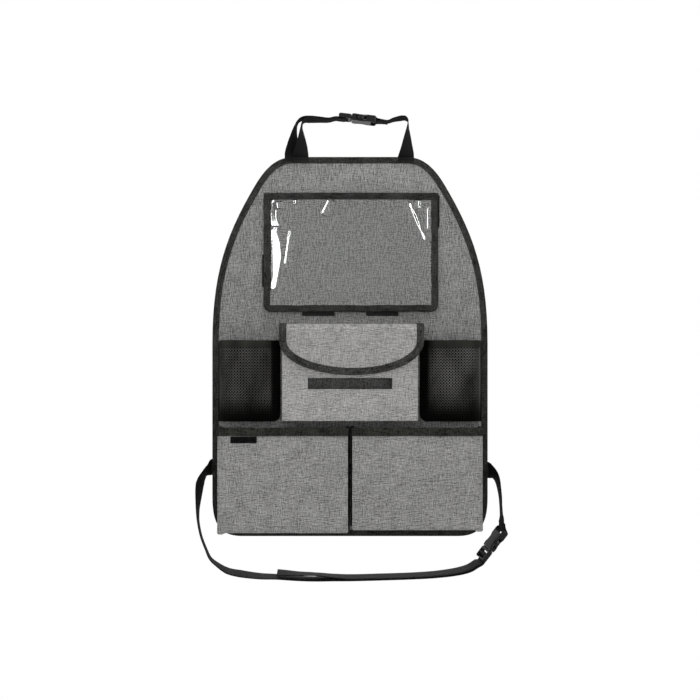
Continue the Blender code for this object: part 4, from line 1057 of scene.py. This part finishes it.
window = {
    "rise": 6.2 * mm,
    "run": 26 * mm,  # from the left and the bottom to the full rise
    "runRight": 72 * mm,
    "film": 0.5 * mm,
    "cornerCut": 9.8 * mm,
    "wave": 0.3 * mm,
    "edge": 4 * mm,  # the film lies flat this close to its seams
    "facetSlope": 0.545,  # of the flat strip at the left, which shows the strip lamp
    "facetReach": 60 * mm,
    "facetFade": 6 * mm,
    "crest": 1.5 * mm,
    # height on the panel and width of that strip, in mm
    "facet": (
        (60, 0), (82, 1), (92, 8), (112, 12), (140, 16), (160, 14.5), (178, 9), (187, 13), (198, 8.5), (214, 8),
        (226, 5), (236, 4),
    ),
    # start and end on the window, half widths on its left and right at both ends, steepness, all in mm
    "creases": (
        ((-120.0, 222), (-117.0, 194), (1.3, 1.3), (1.3, 1.3), -0.5),
        ((-122.0, 172), (-120.5, 100), (0.9, 0.9), (0.9, 0.9), -0.45),
        ((-125, 184.0), (-106, 183.0), (1.5, 1.5), (1.5, 1.5), -0.9),
        ((-111, 224), (-109.5, 212), (3.4, 4.6), (3.0, 4.2), 1.04),
        ((-88.5, 186), (-97, 118), (3.8, 7.0), (4.6, 7.0), 1.04),
        ((-83, 227), (-82, 219), (2.8, 4.6), (2.8, 4.6), 1.05),
        ((-27.5, 228), (-41, 201), (4.0, 7.0), (4.4, 7.0), 1.03),
        ((84.5, 228), (115, 157), (7.0, 4.4), (7.0, 4.2), 0.57),
        ((104, 227), (105, 212), (4.0, 2.8), (4.0, 2.8), 0.7),
        ((118, 218), (118.5, 177), (4.0, 2.8), (4.0, 2.6), 0.7),
        ((123.5, 167), (124, 158), (1.8, 1.8), (1.8, 1.8), 1.0),
        ((78.5, 70), (79, 67.5), (1.7, 1.7), (1.7, 1.7), 1.0),
    ),
}


def creaseLift(x, z):
    lift = 0.0
    for (x0, z0), (x1, z1), before, after, steep in window["creases"]:
        dx, dz = (x1 - x0) * mm, (z1 - z0) * mm
        px, pz = x - x0 * mm, z - z0 * mm
        t = unit((px * dx + pz * dz) / (dx * dx + dz * dz))
        far = math.hypot(px - dx * t, pz - dz * t)
        which = 1 if px * -dz + pz * dx > 0 else 0
        least, width = [(before[n] + (after[n] - before[n]) * t) * mm for n in (0, which)]
        if far < 4 * width:
            ends = min(1, (t * (1 - t) * 4 + 0.12) * 1.6)
            lift += ends * steep * least * math.exp(-((far / width) ** 2) / 2)
    return lift


def makeWindow():
    low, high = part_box("clear_window")
    lip = pouch["lip"]
    flange = lip + gap - inset
    base, rise, run = high.y, window["rise"], window["run"]
    slope, (places, widths) = window["facetSlope"], zip(*window["facet"])
    reach, turn = window["facetReach"], window["crest"]

    def height(x, z):
        up = z - low.z - flange
        inside, outside = x - low.x - flange, high.x - x - flange
        level = smooth(unit(up / run)) * smooth(unit(outside / window["runRight"]))
        lift = rise * smooth(unit(inside / run)) * level
        free = unit(min(inside, outside, up) / window["edge"])
        if 0 < inside < reach:
            wide = float(np.interp(z / mm, places, widths)) * mm
            share = min(1, wide / window["facetFade"])
            if inside < wide:
                flat = slope * inside
            else:
                crest = slope * (wide + turn * (1 - math.exp(-(inside - wide) / turn)))
                flat = crest + (rise * level - crest) * smooth(min(1, (inside - wide) / (reach - wide)))
            lift = lift * (1 - share) + flat * share
        lift += free * window["wave"] * wobble(x, z, 16, 1.0) * unit((inside - 14 * mm) / (10 * mm))
        return lift + free * creaseLift(x, z)

    # closer rows near the sides and the top, where the creases catch the light
    share = np.linspace(0, 1, 290)
    share = share - 0.08 * np.sin(2 * math.pi * share)
    xs = np.concatenate([[low.x], low.x + flange + (high.x - low.x - 2 * flange) * share, [high.x]])
    zs = np.concatenate([[low.z], high.z - (high.z - low.z - flange) * np.linspace(1, 0, 160) ** 1.25])
    outer, inner = [], []
    corner = window["cornerCut"]
    for z in zs[::-1]:
        cut = corner - math.sqrt(max(0, corner**2 - max(0, corner - (z - low.z)) ** 2))
        row = [min(high.x - cut, max(low.x + cut, x)) for x in xs]
        inner.append([(x, base - height(x, z), z) for x in row])
        outer.append([(x, y - window["film"], z) for x, y, z in inner[-1]])
    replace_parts(shellMesh("clearWindow", outer, inner, "film", "film"), "clear_window")

    a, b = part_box("pouch_binding")
    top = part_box("window_binding")[1].z
    fore, rim = -gap - tapeThick, 1.2 * mm
    section = [(fore, -lip), (fore - 0.2 * mm, -lip / 2), (fore, -0.9 * mm), (-0.2 * mm, 0), (0.7 * mm, 0)]
    section += [(1.5 * mm, -0.9 * mm), (1.7 * mm, -lip / 2), (1.5 * mm, -lip)]
    section += [(0.75 * mm, -lip), (0.75 * mm, -rim), (-gap, -rim), (-gap, -lip)]
    rings, line = [], []
    for x in np.linspace(a.x, b.x, 90):
        y = base - height(min(high.x, max(low.x, x)), high.z - 2 * mm)
        rings.append([(x, y - window["film"] / 2 - o + 0.2 * mm, top + dz) for o, dz in section])
        line.append((x, y - 1.95 * mm, top - lip + 1.6 * mm))
    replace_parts(ringMesh("windowBinding", rings, "windowTape", False, "black_tape"), "window_binding")
    stitches("windowStitches", line, front)


makePouch()
makeWindow()
print("tablet pouch ready")
straps = {
    "wide": 25 * mm,
    "thick": 1.3 * mm,
    "twistRoom": 15 * mm,  # how far forward the webbing comes where it stands on edge
    "socket": 38 * mm,
    "plug": 20 * mm,
    "ladderBar": 1.6 * mm,
    "loopBar": 1.9 * mm,
    "barPitch": 7.2 * mm,
}
webbingWide, webbingThick, twistRoom = straps["wide"], straps["thick"], straps["twistRoom"]
barRadius, loopRadius = straps["ladderBar"], straps["loopBar"]
loopBar, endBar = straps["socket"] - loopRadius, -straps["plug"] + barRadius
middleBar = endBar + straps["barPitch"]
strapY = -(1.5 * mm + fabric + gap + webbingThick / 2)
lapY = bindingFront - gap - webbingThick / 2


def faced(points, base):
    # Stations from (x, z, face) in mm and degrees: 0 or 180 lies flat, 90 stands on edge. A fourth value
    # is how far forward it comes on edge, a fifth turns its width away from square to its route
    found = []
    last = len(points) - 1
    for i, (x, z, face, *more) in enumerate(points):
        before, after = points[max(i - 1, 0)], points[min(i + 1, last)]
        if face % 180 == 0 and 0 < i < last:
            if after[2] != face:
                after = points[i]
            elif before[2] != face:
                before = points[i]
        room = more[0] * mm if more else twistRoom
        lean = math.radians(more[1]) if more[1:] else 0
        way = math.atan2(after[0] - before[0], before[1] - after[1]) + lean
        angle = math.radians(face)
        point = Vector((x * mm, base - room * math.sin(angle), z * mm))
        left = Vector((math.cos(way), 0, math.sin(way)))
        found.append((point, left * math.cos(angle) + Vector((0, 1, 0)) * math.sin(angle)))
    return found


class Buckle:
    def __init__(self, mouth, slope, turned):
        self.mouth = Vector(mouth)
        self.along = Vector((math.cos(slope), 0, math.sin(slope)))
        up, depth = Vector((-math.sin(slope), 0, math.cos(slope))), Vector((0, 1, 0))
        self.across = up * math.cos(turned) + depth * math.sin(turned)
        self.thick = up * math.sin(turned) - depth * math.cos(turned)

    def place(self, along, thick):
        return self.mouth + self.along * along + self.thick * thick


def ladderThread(buckle):
    turn = barRadius + 0.4 * mm + webbingThick / 2
    lower = turn + webbingThick + 0.4 * mm
    path = [(endBar - 6 * mm, -lower), (endBar, -lower), (middleBar - 1 * mm, -lower)]
    path += [(middleBar + 1.9 * mm, -3.9 * mm), (middleBar + 3.2 * mm, -2.3 * mm)]
    for degrees in range(-10, 171, 20):
        angle = math.radians(degrees)
        path.append((middleBar + turn * math.cos(angle) * 1.04, turn * math.sin(angle)))
    path += [(middleBar - 3.2 * mm, -1.5 * mm), (endBar + 2.2 * mm, -turn + 0.15 * mm)]
    path += [(endBar, -turn), (endBar - 6 * mm, -turn)]
    return [(buckle.place(a, b), buckle.across) for a, b in path]


def loopThread(buckle, sewn, side, lean):
    turn = loopRadius + 0.35 * mm + webbingThick / 2
    apart = webbingThick / 2 + gap / 2
    near = (turn * math.cos(math.radians(70)) + 1.5 * mm, turn - 0.9 * mm)
    path = [(sewn, apart), (0.6 * sewn, apart + 0.05 * mm), near]
    for degrees in range(80, 281, 20):
        angle = math.radians(degrees)
        path.append((turn * math.cos(angle), turn * math.sin(angle)))
    path += [(near[0], -near[1]), (0.6 * sewn, -apart - 0.05 * mm), (sewn, -apart)]
    found = []
    for a, b in path:
        b *= side
        along = loopBar + a * math.cos(lean) - b * math.sin(lean)
        found.append((buckle.place(along, a * math.sin(lean) + b * math.cos(lean)), buckle.across))
    return found


def smoothRoute(stations, spacing):
    found = []
    last = len(stations) - 1
    for i in range(last):
        p0 = stations[max(i - 1, 0)][0]
        p1, a1 = stations[i]
        p2, a2 = stations[i + 1]
        p3 = stations[min(i + 2, last)][0]
        chord = max((p2 - p1).length, 1e-6)
        m1 = (p2 - p0) * (chord / max((p2 - p1).length + (p1 - p0).length, 1e-6))
        m2 = (p3 - p1) * (chord / max((p2 - p1).length + (p3 - p2).length, 1e-6))
        steps = max(1, round(chord / spacing))
        for k in range(steps):
            t = k / steps
            point = (2 * t**3 - 3 * t**2 + 1) * p1 + (t**3 - 2 * t**2 + t) * m1
            point += (-2 * t**3 + 3 * t**2) * p2 + (t**3 - t**2) * m2
            found.append((point, a1.lerp(a2, t)))
    return found + [stations[-1]]


def strap(name, stations, node):
    # Webbing with rolled edges along its route
    route = smoothRoute(stations, 3 * mm)
    half, thick = webbingWide / 2, webbingThick / 2
    edge = [(half, 0), (half - 0.12 * mm, thick * 0.62), (half - 0.5 * mm, thick * 0.98)]
    edge += [(half * 0.5, thick * 0.9), (0, thick * 0.86)]
    side = edge + [(-a, b) for a, b in edge[-2::-1]]
    section = side + [(a, -b) for a, b in side[-2:0:-1]]
    rings = []
    last = len(route) - 1
    for i, (point, across) in enumerate(route):
        before, acrossBefore = route[max(i - 1, 0)]
        after, acrossAfter = route[min(i + 1, last)]
        heldBefore, heldAfter = (across - acrossBefore).length < 1e-6, (across - acrossAfter).length < 1e-6
        if heldBefore and not heldAfter and i > 0:
            after = point
        if heldAfter and not heldBefore and i < last:
            before = point
        along = (after - before).normalized()
        wide = (across - along * across.dot(along)).normalized()
        out = along.cross(wide).normalized()
        rings.append([point + wide * a + out * b for a, b in section])
    made = ringMesh(name, rings, "webbing", False, "webbing")
    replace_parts(made, node)
    length = lengths(np.array([p for p, across in route]))[-1]
    return route


routes = {
    # stations for faced: the top strap's left end up to its buckle, its loose tail, then its right end
    "rise": [
        (0, -8.5, 180), (0, -1.6, 180), (0, -1, 180), (0.2, 3, 158), (0.9, 10, 142), (1.5, 17, 129),
        (2.0, 31, 108), (2.2, 43, 93), (3.4, 50, 90), (7.0, 53.6, 97), (13, 54.7, 103), (19, 54.6, 102),
        (31, 54.0, 98), (44, 53.4, 94),
    ],
    "tail": [
        (44, 55.6, 86), (31, 56.3, 82), (19, 56.9, 78), (9, 57.0, 78), (2.0, 56.2, 84), (-3.1, 52.4, 88),
        (-6.3, 46.4, 86), (-8.2, 39.6, 79), (-10.0, 30, 68), (-11.4, 19.4, 51), (-11.8, 10, 28), (-12, 4, 10),
        (-12, 0, 0), (-12, -0.6, 0), (-12, -7, 0),
    ],
    "fall": [
        (-20, 55.0, 97), (-8, 57.5, 101), (-1.2, 57.6, 98), (2.2, 54.8, 91), (3.1, 50, 87), (2.6, 43, 82),
        (1.9, 30, 66), (1.0, 15, 47), (0.4, 6, 31), (0.1, 2.5, 20), (0, -1, 0), (0, -1.6, 0), (0, -8.5, 0),
    ],
    # and the same for the lower strap
    "away": [
        (8, 0, 0), (1.0, 0, 0), (-0.4, 0, 0), (-1.4, 0, 0), (-5.7, -4.0, 46, 10, -42),
        (-11.6, -9.9, 69, 10.5, -20),
        (-15.7, -17, 67, 11), (-18.2, -25, 64, 11.5), (-19.7, -36, 68, 12), (-20.9, -52, 77, 13),
        (-21.5, -65, 84, 14), (-20.6, -83, 89), (-16, -106, 90), (-8.5, -126, 90), (-2, -140, 88), (8, -149, 84),
        (24, -159, 76), (43, -163.5, 72), (74, -167.5, 76), (100, -168.5, 79), (133, -171, 81), (160, -171.8, 81),
        (188, -171.3, 80), (214, -171, 79), (261, -169.8, 79), (309, -168.2, 79), (345, -166.0, 78),
        (377, -162.0, 76), (398, -156.5, 74), (411, -148.5, 73),
    ],
    "back": [
        (409.5, -146.2, 107), (396.5, -154.0, 106), (376, -159.6, 104), (344.5, -163.8, 102), (309, -166.1, 101),
        (261, -167.7, 101), (214, -168.6, 100), (188, -167.0, 96), (160, -164.4, 93), (133, -163.6, 97),
        (114, -162.6, 103), (101, -162.2, 107),
    ],
    "short": [
        (20.0, -68, 86), (19.2, -53, 87, 14), (18.6, -41, 85, 13), (17.0, -28.7, 82, 12),
        (14.5, -15.8, 71, 11, 40),
        (10.7, -7.4, 59, 10.5, 34), (5.3, -2.4, 36, 10, 29), (1.4, 0, 0), (0.4, 0, 0), (-1.0, 0, 0), (-8, 0, 0),
    ],
    "topEnds": (-76.7, 86.6),
    "sideEnds": (-186.8, -191.5),
}
buckles = {
    # x, z, slope and turn
    "top": (2.6 * mm, 351.6 * mm, -6.5, 94),
    "low": (213.4 * mm, -311.5 * mm, 52.3, 73),
}


def makeStraps():
    (left, right), top = routes["topEnds"], panelTop / mm
    x, z, slope, turned = buckles["top"]
    upper = Buckle((x, lapY - twistRoom, z), math.radians(slope), math.radians(turned))

    def shifted(key, x, z):
        return [(a + x, b + z, *more) for a, b, *more in routes[key]]

    over = lapY - webbingThick - 2 * gap
    stations = faced(shifted("rise", left, top), over) + ladderThread(upper)
    strap("headrestStrapLong", stations + faced(shifted("tail", left, top), lapY), "headrest_strap_long")
    stations = loopThread(upper, 20 * mm, -1, 0) + faced(shifted("fall", right, top), lapY)
    strap("headrestStrapShort", stations, "headrest_strap_short")

    edge, (leftBase, rightBase) = panel["width"] / 2 / mm, routes["sideEnds"]
    x, z, slope, turned = buckles["low"]
    turned = math.radians(turned)
    lower = Buckle((x, strapY - twistRoom * math.sin(turned), z), math.radians(slope), turned)
    stations = faced(shifted("away", -edge, leftBase), strapY) + ladderThread(lower)
    strap("seatStrapLong", stations + faced(shifted("back", -edge, leftBase), strapY), "seat_strap_long")
    stations = loopThread(lower, 13 * mm, -1, math.radians(45))
    strap("seatStrapShort", stations + faced(shifted("short", edge, rightBase), strapY), "seat_strap_short")
    for node in ("headrest_buckle_socket", "headrest_buckle_plug", "seat_buckle_socket", "seat_buckle_plug"):
        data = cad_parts[node].data
        data.materials.clear()
        data.materials.append(looks["plastic"])
    for name, base, depth in (("Left", left, over), ("Right", right, lapY)):
        y = depth - webbingThick / 2 - 0.02 * mm
        for dz in (-2.2, -7.0):
            row = [((base + u) * mm, y, panelTop + dz * mm) for u in np.linspace(-11, 11, 8)]
            seam = f"strapStitches{name}{abs(int(dz))}"
            stitches(seam, row, front, "thread", 2.6 * mm, 2.0 * mm, 0.3 * mm, "webbing")


makeStraps()
print("straps ready")

lamps = {
    # place, aim, size, power, and whether shiny things show it
    "keyLamp": ((-0.8, -2.9, 1.0), (0, 0, 0.05), (1.5, 1.0), 15, False),
    "fillLamp": ((0.4, -2.9, -0.1), (0, 0, 0), (1.2, 0.8), 19, False),
    "topLamp": ((0.0, -0.36, 0.82), (0, 0, 0.22), (0.5, 0.2), 4.0, False),
    "stripLeft": ((-2.4, -1.3, 0.8), (0, 0, 0.15), (0.35, 2.2), 17, True),
    "stripRight": ((2.4, -1.3, 0.8), (0, 0, 0.15), (0.4, 2.2), 15, True),
    "rearLamp": ((0, 2.6, 1.8), (0, 0, 0), (2.0, 1.4), 40, True),
}
stage = {
    "floorSize": 14.0,
    "floorHeight": -0.8,
    "white": 0.82,
    "seenWhite": 1.0,  # how bright the background looks to the camera
    "fillWhite": 0.5,  # and how bright it shines on the part
    "camera": (0.0, -2.606, -0.0054),
    "distance": 2.6,
    "sensor": 36,
    "view": 1.085,  # width in view at that distance
}


def areaLamp(name, place, aim, size, power, mirrored):
    data = bpy.data.lights.new(name, "AREA")
    data.shape = "RECTANGLE"
    data.size, data.size_y = size
    data.energy = power
    lamp = bpy.data.objects.new(name, data)
    lamp.location = place
    lamp.rotation_mode = "QUATERNION"
    lamp.rotation_quaternion = (Vector(aim) - Vector(place)).to_track_quat("-Z", "Y")
    lamp.visible_glossy = mirrored
    lamp.visible_camera = False
    bpy.context.scene.collection.objects.link(lamp)
    return lamp


def makeStage():
    scene = bpy.context.scene
    world = bpy.data.worlds.new("studio")
    scene.world = world
    world.use_nodes = True
    tree = world.node_tree
    back = tree.nodes["Background"]
    path = tree.nodes.new("ShaderNodeLightPath")
    seen = tree.nodes.new("ShaderNodeMath")
    seen.operation = "MAXIMUM"
    tree.links.new(path.outputs["Is Camera Ray"], seen.inputs[0])
    tree.links.new(path.outputs["Is Transmission Ray"], seen.inputs[1])
    mix = tree.nodes.new("ShaderNodeMix")
    mix.data_type = "FLOAT"
    tree.links.new(seen.outputs[0], mix.inputs[0])
    mix.inputs[2].default_value = stage["fillWhite"]
    mix.inputs[3].default_value = stage["seenWhite"]
    back.inputs["Color"].default_value = (1, 1, 1, 1)
    tree.links.new(mix.outputs[0], back.inputs["Strength"])

    mesh = bpy.data.meshes.new("floor")
    size, white = stage["floorSize"], stage["white"]
    corners = [(-size, -size, 0), (size, -size, 0), (size, size, 0), (-size, size, 0)]
    mesh.from_pydata(corners, [], [(0, 1, 2, 3)])
    floor = bpy.data.objects.new("floor", mesh)
    floor.location = (0, 0, stage["floorHeight"])
    scene.collection.objects.link(floor)
    g = Graph("paleFloor")
    g.surface(colour=(white, white, white), rough=0.8)
    glow = g.add("ShaderNodeEmission", {"Color": (1, 1, 1), "Strength": 1.0})
    rays = g.tree.nodes.new("ShaderNodeLightPath")
    kinds = ("Camera", "Transmission", "Glossy")
    direct, through, mirrored = [Wire(g, rays.outputs[f"Is {kind} Ray"]) for kind in kinds]
    shown = g.maths("MAXIMUM", direct, through)
    seen = g.maths("MAXIMUM", shown, mirrored)
    g.put(glow.socket.node.inputs["Strength"], shown * 0.5 + 0.5)
    mixed = g.add("ShaderNodeMixShader", {0: seen, 2: glow})
    g.tree.links.new(g.shader.outputs[0], mixed.socket.node.inputs[1])
    g.tree.links.new(mixed.socket, g.output.inputs["Surface"])
    mesh.materials.append(g.material)

    [areaLamp(name, *values) for name, values in lamps.items()]

    data = bpy.data.cameras.new("camera")
    camera = bpy.data.objects.new("camera", data)
    camera.location = stage["camera"]
    camera.rotation_euler = (math.radians(90), 0, 0)
    data.sensor_width = stage["sensor"]
    data.lens = stage["sensor"] * stage["distance"] / stage["view"]
    data.clip_start, data.clip_end = 0.05, 100
    data.dof.use_dof = False
    scene.collection.objects.link(camera)
    scene.camera = camera
    scene.view_settings.view_transform = "Standard"
    scene.view_settings.look = "None"
    scene.view_settings.exposure = 0
    scene.view_settings.gamma = 1


makeStage()
print("stage ready")
